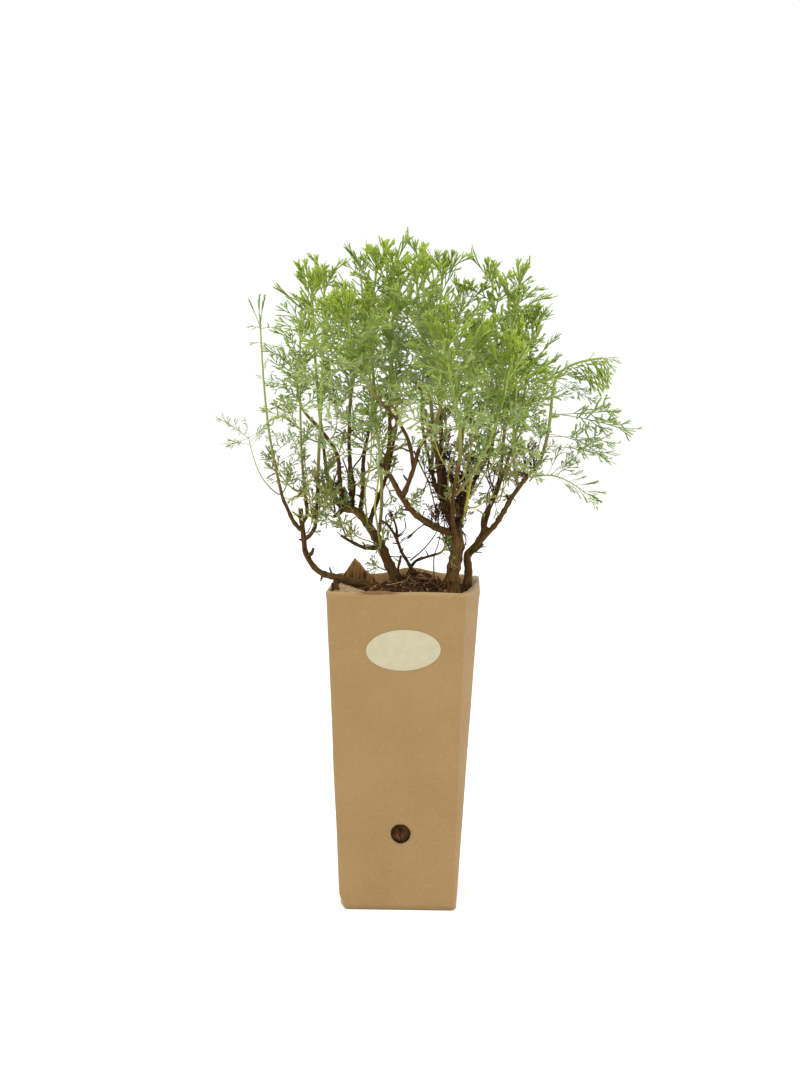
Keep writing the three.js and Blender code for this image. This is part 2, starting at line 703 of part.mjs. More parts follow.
const looks = {
  pot: ["#b1905f", 0.9],
  label: ["#d0c9aa", 0.6],
  soil: ["#3c2a18", 1],
};
const plant = new THREE.Group();
pieces.forEach((solid, name) => {
  const [colour, roughness] = looks[name] ?? [WOOD[name]?.colour ?? SHOOT_COLOUR, 0.85];
  plant.add(meshOf(WOOD[name] || looks[name] ? name : `shoot_${name}`, solid, colour, roughness));
});

export default plant;
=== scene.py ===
import json
import math
import random

import bmesh
import bpy
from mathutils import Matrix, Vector, noise

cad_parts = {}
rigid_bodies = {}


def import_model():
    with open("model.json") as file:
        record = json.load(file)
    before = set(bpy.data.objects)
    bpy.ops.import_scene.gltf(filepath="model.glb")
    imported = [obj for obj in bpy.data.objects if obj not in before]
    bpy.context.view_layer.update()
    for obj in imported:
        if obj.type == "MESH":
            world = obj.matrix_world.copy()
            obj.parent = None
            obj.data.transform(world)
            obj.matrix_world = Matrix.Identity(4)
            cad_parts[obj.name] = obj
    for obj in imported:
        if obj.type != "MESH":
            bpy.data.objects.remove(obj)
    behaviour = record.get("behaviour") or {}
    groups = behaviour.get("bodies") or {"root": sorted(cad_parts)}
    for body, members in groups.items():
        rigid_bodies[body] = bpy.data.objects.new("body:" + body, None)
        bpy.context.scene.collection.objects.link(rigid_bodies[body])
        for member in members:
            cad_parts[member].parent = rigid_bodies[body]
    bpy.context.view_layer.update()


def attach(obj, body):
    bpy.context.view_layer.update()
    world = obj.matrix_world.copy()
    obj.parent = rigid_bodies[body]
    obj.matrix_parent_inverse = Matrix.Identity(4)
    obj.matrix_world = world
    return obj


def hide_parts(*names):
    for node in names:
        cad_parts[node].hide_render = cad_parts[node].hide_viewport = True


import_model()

MM = 0.001

# Sizes of the solids, repeated here so that the finer pieces keep their form.
POT_HEIGHT = 193
HALF_BOTTOM = 34.8
HALF_TOP = 45
TOP_SHIFT = 3.5
WALL = 1.8
FLOOR = 2
FOOT_CHAMFER = 1
CORNER_RADIUS = 3
FOLD_FRONT = (2, 8)
FOLD_SIDE = (3, 15)
BACK_PULL = 1.5
DRAIN = {"x": 2, "z": 47, "radius": 6}
LABEL = {"x": 4, "z": 158, "width": 44, "height": 24.5, "tilt": 2}
EAR = [(-42.2, 15, 194), (-36, 12, 196.5), (-29, 6, 207.5), (-22, 0, 201), (-7, -9, 190.5)]
EAR_THICK = 1.4
EAR_FOOT_Z = 186
FLAP = {"left": -38, "right": -14, "reach": 16, "thick": 1.3, "z": 190.8, "rise_left": 4.5, "rise_right": 0}
LIP = {"front": -41, "back": 42, "width": 6.5, "notch": 3.4, "notch_y": 10, "thick": 0.9, "drop": 3}
SEAM = {"x": 26, "width": 15, "thick": 0.9, "low": 3, "high": 189}
SLIVER = (-24, 2)
SOIL_TOP = 187.6
SOIL_SWELL = 1.6
GAP = 0.3

# Each woody limb: root radius, tip radius, then its points.
WOOD = {
    "left_stem": {
        "main": (2, 1.5, [
            (-16, -14, 178), (-16, -14, 190.5), (-21, -14, 194), (-27, -13, 194.5), (-36, -9, 197),
            (-45, -3, 198), (-50, 0, 200), (-54, 1, 204), (-58, 2, 211), (-59, 2, 219), (-60, 2, 228),
            (-61, 2, 238)]),
        "outer": (1.2, 0.9, [(-61, 2, 225), (-65, 0, 230), (-68, -2, 237), (-71, -3, 244), (-73, -5, 253)]),
        "inner": (1.2, 0.9, [(-59, 2, 219), (-55, 1, 222), (-52, 0, 227), (-51, -1, 236), (-50, -3, 254)]),
        "upper": (1.2, 0.9, [(-60, 2, 229), (-57, 3, 235), (-58, 4, 243), (-59, 5, 252)]),
        "spur": (1.2, 0.8, [(-57, 2, 209), (-54, 0, 211), (-53, -1, 214)]),
    },
    "middle_stem": {
        "main": (3.6, 2.2, [
            (-1, 2, 178), (-1, 2, 190.5), (-3.5, 2, 197), (-8, 3, 206), (-12, 4, 215), (-18, 5, 225),
            (-23, 6, 232), (-28, 7, 236.5), (-37, 7, 238)]),
        "upright": (1.5, 1, [(-30, 7, 237), (-30, 9, 246), (-31, 10, 259), (-32, 12, 275), (-32, 13, 290)]),
        "left": (1.5, 0.9, [
            (-33, 7, 237), (-36, 4, 245), (-37, 0, 258), (-38, -2, 270), (-45, -3, 282), (-56, 0, 294)]),
        "far": (1.4, 0.9, [(-36, 7, 238), (-43, 12, 246), (-47, 21, 262), (-50, 28, 281)]),
        "drooping": (1.3, 0.8, [(-15, 4, 214), (-22, -4, 215), (-29, -11, 219), (-35, -14, 223)]),
        "rear": (1.5, 0.9, [(-25, 6, 234), (-24, 15, 249), (-24, 23, 267), (-20, 30, 290)]),
        "hidden": (1.5, 0.9, [(-20, 5, 227), (-16, 18, 240), (-10, 33, 258), (-6, 44, 280)]),
        "knot": (1.6, 1, [(-35, 7, 238), (-39, 5, 234), (-41, 4, 233)]),
    },
    "dead_twigs": {
        "stump": (5, 4, [(6, -5, 178), (6, -5, 184), (6, -5, 190.5)]),
        "bent": (1.2, 0.7, [
            (7, -5, 187), (8, -6, 199), (5, -7, 206), (1, -8, 213), (-2, -9, 221), (-7, -10, 229),
            (-11, -11, 232)]),
        "fork": (0.9, 0.6, [(-1.5, -9, 219), (-2, -6, 226), (-4, -5, 233)]),
        "right": (1.1, 0.7, [(6, -3, 188), (5, 2, 199), (9, 2, 206), (15, 1, 208.5), (23, 0, 211)]),
        "short": (1, 0.7, [(3.5, -6, 187), (-1, -11, 199), (1, -14, 211)]),
    },
    "main_trunk": {
        "trunk": (4.4, 3.4, [
            (32, -8, 178), (32, -8, 188), (32, -8, 200), (34, -8, 210), (35, -7, 218), (34, -6, 224),
            (33, -5, 230)]),
        "left": (2.2, 1, [
            (33, -6, 224), (26, -9, 226), (18, -12, 230), (9, -16, 237), (2, -18, 246), (-4, -18, 257),
            (-8, -16, 264), (-6, -12, 277), (-6, -9, 300)]),
        "left_fork": (1.5, 0.9, [
            (2, -18, 246), (5, -19, 253), (9, -20, 264), (13, -23, 277), (19, -26, 286)]),
        "left_cross": (1.2, 0.8, [(9, -20, 264), (6, -23, 280), (-1, -27, 293), (-9, -30, 302)]),
        "pale": (2.6, 1.5, [(33, -5, 227), (29, -2, 237), (25, 0, 251), (23, 2, 266), (20, 5, 285)]),
        "dark": (1.7, 1, [(32, -3, 229), (28, 7, 248), (25, 13, 267), (24, 17, 292), (23, 20, 313)]),
        "right": (1.6, 0.9, [(35, -5, 226), (36, 1, 240), (35, 2, 259), (37, 0, 279)]),
        "far_right": (1.6, 0.9, [(36, -5, 228), (40, 9, 245), (47, 17, 260), (54, 22, 272), (58, 26, 292)]),
        "front": (1.5, 0.9, [(33, -8, 222), (32, -18, 234), (33, -28, 250), (36, -36, 268)]),
        "hidden": (1.6, 0.9, [(33, -5, 222), (28, 12, 234), (20, 28, 252), (14, 40, 274)]),
    },
    "right_stem": {
        "main": (2.8, 2, [
            (40.3, 10, 178), (40.3, 10, 190.5), (41, 10, 196), (41, 9.5, 202), (40.5, 9, 209),
            (47, 9, 217), (52, 10, 227)]),
        "long": (1.7, 1.1, [(47, 9, 217), (58, 7, 229), (68, 5, 246), (76, 3, 257), (83, 1, 265)]),
        "thin": (1.2, 0.8, [(50, 10, 224), (50, 13, 232), (57, 16, 244), (62, 19, 258)]),
        "spur": (1.1, 0.7, [(41, 9, 210), (46, 3, 213), (50, 0, 217)]),
        "hidden": (1.4, 0.9, [(50, 10, 224), (54, 22, 238), (60, 34, 256), (62, 42, 276)]),
    },
}

# Each leafy shoot: the limb that carries it and where, its tip, its count of leaves in the solid
# where it isn't the usual four, the share of its stem below the first leaf, and that leaf's turn.
# Some have their own size of leaves, share of leaves kept, size of the tuft at the tip, slimness,
# and directions in which the stem leaves the wood and ends.
SHOOTS = {
    "far_left": dict(on="left_stem.outer", tip=(-84, -8, 355), low=0.05, turn=200, size=0.5),
    "left_sprig": dict(on="left_stem.outer", at=0.8, tip=(-91, -9, 281), leaves=3, low=0.4, turn=90,
                       size=0.5, slim=0.5),
    "bright_left": dict(on="left_stem.inner", tip=(-43, -30, 372), low=0.2, turn=40, top=0.75),
    "left_low": dict(on="left_stem.upper", tip=(-63, 20, 326), low=0.1, turn=120, size=0.6, kept=0.5),
    "left_mid": dict(on="middle_stem.left", tip=(-61, 4, 342), leaves=3, low=0.1, turn=170, size=0.7,
                     kept=0.6, top=0.6),
    "left_top": dict(on="middle_stem.far", tip=(-57, 38, 372), low=0.1, turn=10, size=0.92, top=0.85),
    "crown_left": dict(on="middle_stem.upright", tip=(-15, 9, 383), low=0.2, turn=250, top=0.8),
    "crown_rear": dict(on="middle_stem.rear", tip=(-27, 46, 381), leaves=3, low=0.2, turn=300, size=0.9,
                       top=0.85),
    "rear_left": dict(on="middle_stem.hidden", tip=(-12, 70, 352), low=0.1, turn=80),
    "yellow_left": dict(on="middle_stem.main", at=0.62, tip=(-19, -30, 350), low=0.3, turn=270),
    "crown_middle": dict(on="main_trunk.left", tip=(-3, -12, 381), low=0.28, turn=330, top=0.7),
    "front_high": dict(on="main_trunk.left_fork", tip=(15, -46, 376), low=0.28, turn=100, top=0.7),
    "front_left": dict(on="main_trunk.left_cross", tip=(-27, -57, 350), low=0.3, turn=220),
    "crown_centre": dict(on="main_trunk.pale", tip=(25, 0, 378), low=0.3, turn=20),
    "crown_dark": dict(on="main_trunk.dark", tip=(37, 34, 367), leaves=3, low=0.2, turn=140, size=0.86,
                       top=0.75),
    "front_bright": dict(on="main_trunk.right", tip=(47, -40, 336), leaves=3, low=0.2, turn=60),
    "crown_right": dict(on="main_trunk.far_right", tip=(55, 40, 375), leaves=3, low=0.2, turn=190,
                        size=0.95),
    "high_right": dict(on="main_trunk.far_right", at=0.7, tip=(71, 6, 371), low=0.35, turn=280, size=0.88,
                       top=0.66),
    "front_middle": dict(on="main_trunk.front", tip=(30, -64, 334), low=0.3, turn=310),
    "front_right": dict(on="main_trunk.front", at=0.6, tip=(66, -46, 326), low=0.25, turn=0),
    "rear_middle": dict(on="main_trunk.hidden", tip=(12, 72, 346), low=0.2, turn=150),
    "rear_high": dict(on="main_trunk.hidden", at=0.8, tip=(8, 44, 375), leaves=3, low=0.35, turn=30,
                      top=0.7),
    "arching_right": dict(on="right_stem.long", tip=(121, -4, 329), leaves=6, low=0.02, turn=90,
                          leave=(0.39, 0, 1), lean=(1, 0, -0.55), bend=0.6),
    "right_low": dict(on="right_stem.long", at=0.85, tip=(110, 9, 249), leaves=3, low=0.3, turn=210,
                      size=0.6, leave=(1, 0.2, 0.3), lean=(0.8, 0, -1), bend=0.4, slim=0.6),
    "right_upper": dict(on="right_stem.thin", tip=(80, 22, 350), low=0.2, turn=240, size=0.8),
    "right_front": dict(on="right_stem.long", at=0.72, tip=(70, -30, 330), low=0.25, turn=160, size=0.85,
                        kept=0.7),
    "right_rear": dict(on="right_stem.hidden", tip=(70, 62, 344), low=0.1, turn=50),
    "tuft_left": dict(on="left_stem.inner", at=0.45, tip=(-44, -10, 244), leaves=2, low=0.2, turn=0,
                      size=0.5),
    "tuft_knot": dict(on="middle_stem.upright", at=0.25, tip=(-24, 0, 256), leaves=2, low=0.2, turn=60,
                      size=0.3, kept=0.5),
    "tuft_twig": dict(on="dead_twigs.right", tip=(27, -2, 216), leaves=2, low=0.3, turn=90, size=0.45,
                      kept=0.6),
    "tuft_root": dict(on="middle_stem.main", at=0.32, tip=(-17, -5, 207), leaves=2, low=0.3, turn=30,
                      size=0.2, kept=0.3, top=0.6),
    "tuft_centre": dict(on="main_trunk.left", at=0.4, tip=(9, -25, 246), leaves=2, low=0.3, turn=200,
                        size=0.28, kept=0.4),
}
SHOOT_RADIUS_ROOT = 1.1
SHOOT_RADIUS_TIP = 0.65
SHOOT_BEND = 0.36
SHOOT_RISE = 0.55
SHOOT_STEPS = 120
STEM_STEPS = 40
SIDE_STANDOFF = 0.68
SIDE_LEAN = 0.9
GOLDEN_TURN = 137.5
USUAL_LEAVES = 4
LEAVES_FOR_ONE = 6
LEAF_LENGTH = (46, 22)
LEAF_PITCH = (74, 20)

# Leaves that only the finer shoots have: the tuft at each tip and the small sprigs in the axils.
TIP_LEAVES = 7
TIP_LENGTH = (21, 14)
TIP_PITCH = (36, 6)
SPRIG_LEAVES = 3
SPRIG_SHARE = 0.38
SPRIG_LENGTH = (9, 17)
SPRIG_PITCH = (18, 52)
LEAVES_KEPT = 0.74
LOWEST_LEAF = 0.9

# Shoots at the sides whose leaves stand apart. Each leaf: its share along the stem, azimuth,
# pitch, length, plan and bend, where azimuth 90 is to the left and 180 to the front.
SPARSE_LEAVES = {
    "far_left": [
        (0.02, 90, 70, 8, 4, 0), (0.05, 268, 60, 22, 1, 1), (0.09, 92, 60, 7, 4, 1),
        (0.12, 280, 66, 24, 1, 2), (0.18, 250, 60, 22, 1, 0), (0.24, 180, 50, 10, 2, 1),
        (0.37, 268, 64, 15, 1, 2), (0.62, 95, 50, 6, 4, 1), (0.7, 264, 138, 19, 0, 1),
        (0.66, 272, 30, 10, 2, 0), (0.835, 100, 80, 8, 4, 2), (0.835, 268, 106, 15, 2, 1),
        (0.91, 180, 50, 6, 4, 0), (0.915, 265, 74, 13, 4, 2), (0.92, 95, 70, 9, 4, 1),
        (0.92, 80, 4, 20, 5, 0), (0.92, 92, 14, 20, 5, 1), (0.92, 268, 12, 18, 5, 1),
    ],
    "arching_right": [
        (0.04, 96, 54, 16, 1, 0), (0.08, 200, 60, 16, 1, 1), (0.12, 92, 54, 20, 1, 0),
        (0.13, 272, 80, 40, 6, 1), (0.17, 20, 56, 18, 1, 1), (0.2, 268, 72, 40, 6, 1),
        (0.22, 270, 82, 48, 6, 2), (0.3, 90, 44, 18, 1, 1), (0.36, 272, 84, 40, 6, 0),
        (0.37, 270, 88, 51, 6, 1), (0.42, 96, 40, 14, 2, 0), (0.5, 270, 92, 13, 1, 1),
        (0.55, 274, 70, 14, 2, 2), (0.61, 272, 97, 26, 1, 1), (0.64, 262, 84, 20, 1, 1),
        (0.67, 268, 60, 11, 7, 1), (0.7, 290, 56, 14, 7, 1), (0.7, 95, 18, 7, 4, 1),
        (0.73, 250, 56, 15, 7, 2), (0.76, 285, 60, 18, 7, 1), (0.8, 258, 62, 20, 7, 1),
        (0.84, 290, 64, 21, 7, 2), (0.87, 262, 70, 21, 7, 1), (0.88, 100, 16, 7, 4, 2),
        (0.91, 240, 62, 20, 7, 2), (0.93, 282, 70, 20, 7, 1), (0.96, 258, 70, 18, 7, 1),
        (0.98, 288, 62, 17, 7, 1), (1, 262, 62, 15, 7, 2), (1, 278, 40, 13, 7, 1), (1, 250, 24, 11, 7, 0),
        (1, 90, 4, 10, 5, 0),
    ],
    "right_low": [
        (0.3, 88, 58, 18, 2, 1), (0.36, 70, 48, 20, 1, 0), (0.42, 100, 48, 18, 2, 0),
        (0.48, 84, 62, 16, 2, 1), (0.5, 262, 30, 12, 2, 0), (0.56, 80, 40, 15, 2, 0),
        (0.64, 276, 30, 11, 3, 0), (0.7, 92, 44, 12, 3, 0), (0.78, 262, 26, 10, 3, 0),
        (0.85, 84, 46, 12, 3, 0), (0.92, 280, 24, 10, 3, 0), (1, 270, 16, 14, 2, 0), (1, 88, 30, 13, 3, 0),
        (1, 150, 14, 12, 3, 0),
    ],
    "left_sprig": [
        (0.86, 268, 50, 14, 1, 1), (0.9, 96, 70, 14, 2, 0), (0.93, 262, 62, 15, 2, 0),
        (1, 268, 66, 16, 2, 1), (1, 150, 50, 14, 1, 1), (1, 92, 34, 25, 6, 1), (1, 84, 96, 14, 2, 1),
        (1, 276, 16, 13, 1, 0),
    ],
}

# Of those, the shoots whose leaves are old and grey up to the tip, and the age at that tip.
GREY_SHOOTS = ("far_left", "left_sprig", "right_low")
GREY_YOUTH = 0.35

# Small leafy twigs inside the plant: limb, share of the limb from and to, how many, and their
# shortest and longest length.
INNER_SPRIGS = {
    "left_stem": [
        ("main", 0.8, 1, 1, 6, 10), ("outer", 0.5, 1, 1, 7, 10), ("inner", 0.3, 1, 4, 10, 26),
        ("upper", 0.4, 1, 2, 12, 26)],
    "middle_stem": [
        ("main", 0.84, 1, 2, 5, 8), ("upright", 0.6, 1, 1, 14, 26), ("left", 0.6, 1, 1, 14, 26),
        ("far", 0.4, 1, 2, 14, 30), ("rear", 0.4, 1, 2, 14, 34), ("hidden", 0.4, 1, 2, 14, 34),
        ("drooping", 0.5, 1, 1, 5, 8), ("main", 0.4, 0.7, 1, 4, 7)],
    "main_trunk": [
        ("left", 0.7, 1, 1, 6, 12), ("left_fork", 0.7, 1, 1, 8, 14), ("left_cross", 0.6, 1, 1, 8, 16),
        ("pale", 0.8, 1, 1, 12, 24), ("dark", 0.6, 1, 2, 12, 30), ("right", 0.4, 1, 3, 12, 30),
        ("far_right", 0.4, 1, 3, 14, 30), ("front", 0.6, 1, 2, 12, 24), ("hidden", 0.3, 1, 3, 14, 34)],
    "right_stem": [
        ("long", 0.6, 1, 4, 10, 22), ("thin", 0.5, 1, 3, 10, 22), ("hidden", 0.3, 1, 3, 14, 34)],
}
WITHERED_SPRIGS = {
    "middle_stem": [("main", 0.85, 1, 4, 5, 10)],
    "dead_twigs": [("bent", 0.8, 1, 1, 3, 5)],
    "main_trunk": [
        ("trunk", 0.85, 1, 8, 5, 12), ("pale", 0.03, 0.5, 9, 6, 18), ("right", 0.1, 0.9, 9, 6, 16),
        ("dark", 0.05, 0.5, 6, 6, 16), ("left", 0.03, 0.16, 5, 5, 10), ("far_right", 0.05, 0.5, 6, 6, 16)],
    "right_stem": [("long", 0.7, 0.95, 4, 5, 10)],
}

# The dead leaf that hangs off the trunk's left bough.
HANGING_LEAF = [(17, -13, 231), (12, -16, 228), (7, -18, 224), (5, -19, 222)]

# Thin bare twigs and peeling strands of bark: root radius, then their points.
BARE_TWIGS = {
    "corner_stub": (1.9, [(-35.5, -37, 188), (-35.8, -37.5, 194), (-36.5, -38, 199)]),
    "corner_chip": (1.2, [(-38, -34, 188), (-38, -34.5, 193), (-38.5, -35, 196.5)]),
    "knot_bow": (0.6, [(-40, 4, 236), (-41, 3, 243), (-41, 2, 252), (-39, 1, 259), (-36, 0, 266)]),
    "knot_hook": (0.6, [(-39, 3, 235), (-36, 0, 229), (-33, -4, 222), (-32, -6, 219)]),
    "knot_side": (0.5, [(-40, 3, 235), (-44, 0, 241), (-47, -3, 246), (-51, -6, 252)]),
    "knot_rising": (0.7, [(-30, 6, 239), (-28, 4, 250), (-29, 2, 262), (-24, 0, 269), (-22, -1, 275)]),
    "knot_rear": (0.6, [(-32, 9, 249), (-33, 10, 260), (-36, 11, 268)]),
    "knot_right": (0.6, [(-25, 5, 236), (-23, 2, 248), (-22, 0, 262), (-22, -2, 275)]),
    "straw_level": (0.4, [(-9, -4, 211), (-6, -8, 210), (0, -12, 210), (7, -15, 210)]),
    "straw_cross": (0.45, [(0, -9, 213), (4, -10, 209), (7, -11, 205), (10, -12, 200)]),
    "straw_reach": (0.45, [(-8, -10, 230), (-8, -12, 235), (-5, -14, 237), (-3, -15, 238)]),
    "straw_bent": (0.4, [(-2, -9, 222), (2, -13, 225), (4, -15, 228), (3, -16, 234)]),
    "straw_leaning": (0.45, [(6, -2, 207), (13, -6, 213), (19, -10, 220), (23, -12, 226)]),
    "straw_upright": (0.4, [(22, -14, 190), (21, -14, 198), (21, -14, 211), (23, -13, 217), (25, -11, 226)]),
    "trunk_peel_left": (0.35, [(32, -12, 212), (28, -13, 220), (26, -13, 225), (28, -11, 228)]),
    "trunk_peel_right": (0.35, [(37, -8, 238), (40, -9, 232), (37, -9, 227), (41, -10, 222)]),
    "trunk_peel_low": (0.35, [(38, -8, 225), (40, -10, 220), (38, -11, 214), (37, -11, 208)]),
    "fork_a": (0.6, [(35, -3, 228), (33, -4, 244), (31, -5, 256), (32, -6, 267), (35, -7, 281)]),
    "fork_b": (0.6, [(36, -1, 230), (39, 0, 248), (41, 0, 262), (45, 0, 273), (49, 0, 286)]),
    "fork_c": (0.45, [(24, -1, 262), (18, -8, 259), (16, -10, 254), (14, -12, 248)]),
    "fork_d": (0.5, [(34, -4, 226), (29, -9, 246), (27, -10, 262), (24, -12, 278)]),
    "bough_hanging": (0.5, [(9, -20, 274), (14, -18, 263), (18, -15, 254), (20, -13, 246), (23, -11, 235)]),
    "bough_stub": (0.5, [(8, -17, 238), (3, -19, 239), (1, -21, 240)]),
    "bough_top": (0.7, [(-7, -16, 262), (-11, -18, 266), (-14, -19, 269)]),
    "bough_hook": (0.5, [(21, -11, 229), (17, -13, 232), (14, -14, 233), (15, -15, 238)]),
    "right_upper": (0.55, [(57, 15, 243), (56, 12, 250), (54, 12, 256), (53, 12, 262), (54, 12, 274)]),
    "right_brown": (0.45, [(52, 13, 232), (53, 11, 248), (56, 10, 254), (57, 9, 261), (60, 8, 268)]),
    "right_side": (0.45, [(57, 15, 244), (54, 10, 252), (52, 8, 258), (53, 7, 268)]),
    "trunk_foot_a": (0.5, [(28, -9, 187), (24, -12, 195), (23, -13, 199)]),
    "trunk_foot_b": (0.5, [(27, -11, 187), (26, -15, 194), (29, -17, 200)]),
    "trunk_foot_c": (0.45, [(25, -8, 187), (20, -12, 193), (17, -15, 195)]),
}

# Pale green strands that show between the bare stems: root radius, then their points.
GREEN_STRANDS = {
    "pale_tall": (0.75, [
        (-12, 3, 212), (-14, -8, 232), (-15, -10, 240), (-14, -11, 247), (-12, -13, 262), (-12, -15, 276),
        (-16, -16, 286)]),
    "pale_twin": (0.6, [
        (-20, 5, 226), (-21, -6, 250), (-18, -9, 262), (-17, -11, 273), (-17, -12, 286), (-19, -12, 300)]),
    "pale_short": (0.5, [(-13, 3, 213), (-10, -6, 224), (-8, -9, 231), (-3, -11, 234)]),
    "flat_left": (0.45, [(-26, 5, 234), (-34, -3, 229), (-38, -6, 230), (-42, -9, 232)]),
    "dark_droop": (0.5, [(-14, 4, 214), (-17, -3, 218), (-24, -9, 221), (-28, -12, 224), (-32, -14, 227)]),
    "yellow_main": (1.3, [(37, -6, 230), (40, -12, 241), (41, -13, 246), (43, -13, 258)]),
    "yellow_right": (0.7, [(40, -12, 240), (44, -15, 240), (47, -17, 241), (50, -18, 243)]),
    "yellow_arm": (0.5, [(41, -13, 249), (38, -16, 251), (35, -18, 251)]),
    "pale_rising": (0.6, [
        (42, -12, 245), (47, -13, 253), (51, -14, 260), (55, -15, 265), (59, -16, 273), (61, -16, 286)]),
    "yellow_inner": (0.6, [(31, -7, 238), (29, -9, 256), (30, -10, 264), (33, -11, 272), (36, -12, 288)]),
    "yellow_high": (0.7, [(41, -11, 244), (40, -9, 262), (42, -10, 271), (44, -11, 286)]),
    "right_fascicle": (0.6, [(78, 3, 255), (81, -2, 259), (83, -4, 264)]),
    "left_inner": (0.5, [(-52, 0, 226), (-54, -5, 236), (-55, -6, 249), (-57, -8, 264)]),
    "left_stalk": (0.4, [(-71, -3, 245), (-64, -8, 244), (-58, -12, 248), (-53, -14, 257)]),
}

# The least and greatest distance between the leaves on a green strand and on a small twig.
STRAND_GAP = (8.4, 18.2)
SPRIG_GAP = (3.5, 6.5)

# The kinds of leaf, whose place in this list is its number. Lengths are shares of the leaf's own:
# its bare stalk, its pairs of lobes, their reach and width, the angles from the lowest to the
# highest pair, how many teeth a lobe has and how often these fork again, at which angles, and how
# far all of it stands out of the leaf's plane. Angles are in degrees, and curl is the leaf's arch.
# The cuts are the shares of a lobe's length at which it has a ring of points.
FULL_CUTS = (0.0, 0.5, 0.9)
SHORT_CUTS = (0.0, 0.84)
LEAF_PLANS = {
    "a_low": dict(curl=-12, petiole=0.42, pairs=4, reach=0.19, spread=(76, 44), width=0.025, teeth=2,
                  twice=0.6, fork=(34, 62), tilt=46, rib_cuts=7, ears=True),
    "b_middle": dict(curl=-4, petiole=0.36, pairs=4, reach=0.23, spread=(70, 38), width=0.031, teeth=2,
                     twice=0.5, fork=(30, 56), tilt=40, rib_cuts=6, ears=True),
    "c_upper": dict(curl=8, petiole=0.34, pairs=3, reach=0.32, spread=(56, 26), width=0.042, teeth=2,
                    twice=0.3, fork=(22, 44), tilt=34, rib_cuts=5),
    "d_young": dict(curl=12, petiole=0.26, pairs=3, reach=0.44, spread=(38, 14), width=0.052, teeth=2,
                    twice=0.0, fork=(13, 30), tilt=26, rib_cuts=5),
    "e_sprig": dict(curl=10, petiole=0.34, pairs=2, reach=0.34, spread=(60, 32), width=0.085, teeth=2,
                    twice=0.0, fork=(28, 54), tilt=42, rib_cuts=4, short=True),
    "f_closed": dict(curl=6, petiole=0.5, pairs=2, reach=0.26, spread=(18, 8), width=0.062, teeth=1,
                     twice=0.0, fork=(8, 18), tilt=8, rib_cuts=5),
    "g_long": dict(curl=14, petiole=0.32, pairs=6, reach=0.26, spread=(78, 40), width=0.024, teeth=3,
                   twice=0.7, fork=(32, 58), tilt=34, rib_cuts=9),
    "h_comb": dict(curl=20, petiole=0.08, pairs=4, reach=0.36, spread=(58, 26), width=0.06, teeth=2,
                   twice=0.0, fork=(18, 36), tilt=24, rib_cuts=5),
}
YOUNG, SPRIG, CLOSED = 3, 4, 5
LEAF_BENDS = (-18, 3, 30)

# How finely the wood is built, the dead spurs on each piece of it, the shapes of one kind of
# litter, and what the values at the points of a stem are where they aren't plain numbers.
WOOD_TUBE_STEP = 1.1
SPURS = {"left_stem": 12, "middle_stem": 26, "dead_twigs": 16, "main_trunk": 34, "right_stem": 14}
LITTER_SHAPES = 4
VALUE_KINDS = {"heading": "FLOAT_VECTOR", "face": "FLOAT_VECTOR", "seat": "BOOLEAN", "kind": "INT"}

# The photo's camera, in metres, radians, and millimetres for its sensor and lens, and the point
# in metres at which the lamps aim. The floor's reach is in millimetres.
CAMERA_DISTANCE = 1.15
CAMERA_HEIGHT = 0.3179
CAMERA_AZIMUTH = math.radians(3)
CAMERA_PITCH = math.radians(4.71)
CAMERA_TURN = 0.0526
CAMERA_SENSOR = 36
CAMERA_LENS = 64.2
LAMPS_AIM = (0, 0, 0.22)
FLOOR_REACH = 4000


def lerp(a, b, share):
    return a + (b - a) * share


def within(value, low=0, high=1):
    return min(max(value, low), high)


def smoothstep(value, low, high):
    share = within((value - low) / (high - low))
    return share * share * (3 - 2 * share)


def ripple(x, y, z):
    """Smooth chance at a place, between -1 and 1."""
    return noise.noise(Vector((x, y, z)))


def colour(red, green, blue):
    """A colour read off a screen, 0 to 255, as Blender's linear colour."""
    parts = [c / 255 for c in (red, green, blue)]
    linear = [c / 12.92 if c <= 10 / 255 else ((c + 0.055) / 1.055) ** 2.4 for c in parts]
    return (*linear, 1)


class Line:
    """A smooth line through space, read by the share of its length."""

    def __init__(self, points):
        self.points = points
        self.reach = [0]
        for a, b in zip(points, points[1:]):
            self.reach.append(self.reach[-1] + (b - a).length)
        self.length = self.reach[-1]

    def at(self, share):
        wanted = within(share) * self.length
        low, high = 0, len(self.reach) - 1
        while high - low > 1:
            middle = (low + high) // 2
            low, high = (middle, high) if self.reach[middle] <= wanted else (low, middle)
        span = self.reach[high] - self.reach[low]
        return self.points[low].lerp(self.points[high], (wanted - self.reach[low]) / span)

    def heading(self, share):
        step = 0.004
        return (self.at(share + step) - self.at(share - step)).normalized()


def limb_line(route, dense=14):
    """The centripetal curve through a limb's points, as the solids have it."""
    points = [Vector(p) for p in route]
    points = [points[0] * 2 - points[1], *points, points[-1] * 2 - points[-2]]
    found = []
    for p0, p1, p2, p3 in zip(points, points[1:], points[2:], points[3:]):
        d0, d1, d2 = (math.sqrt((b - a).length) for a, b in ((p0, p1), (p1, p2), (p2, p3)))
        start = ((p1 - p0) / d0 - (p2 - p0) / (d0 + d1) + (p2 - p1) / d1) * d1
        end = ((p2 - p1) / d1 - (p3 - p1) / (d1 + d2) + (p3 - p2) / d2) * d1
        cubic = (p1 - p2) * 2 + start + end
        square = (p2 - p1) * 3 - start * 2 - end
        for t in (k / dense for k in range(dense)):
            found.append(p1 + start * t + square * t * t + cubic * t * t * t)
    return Line([*found, points[-2]])


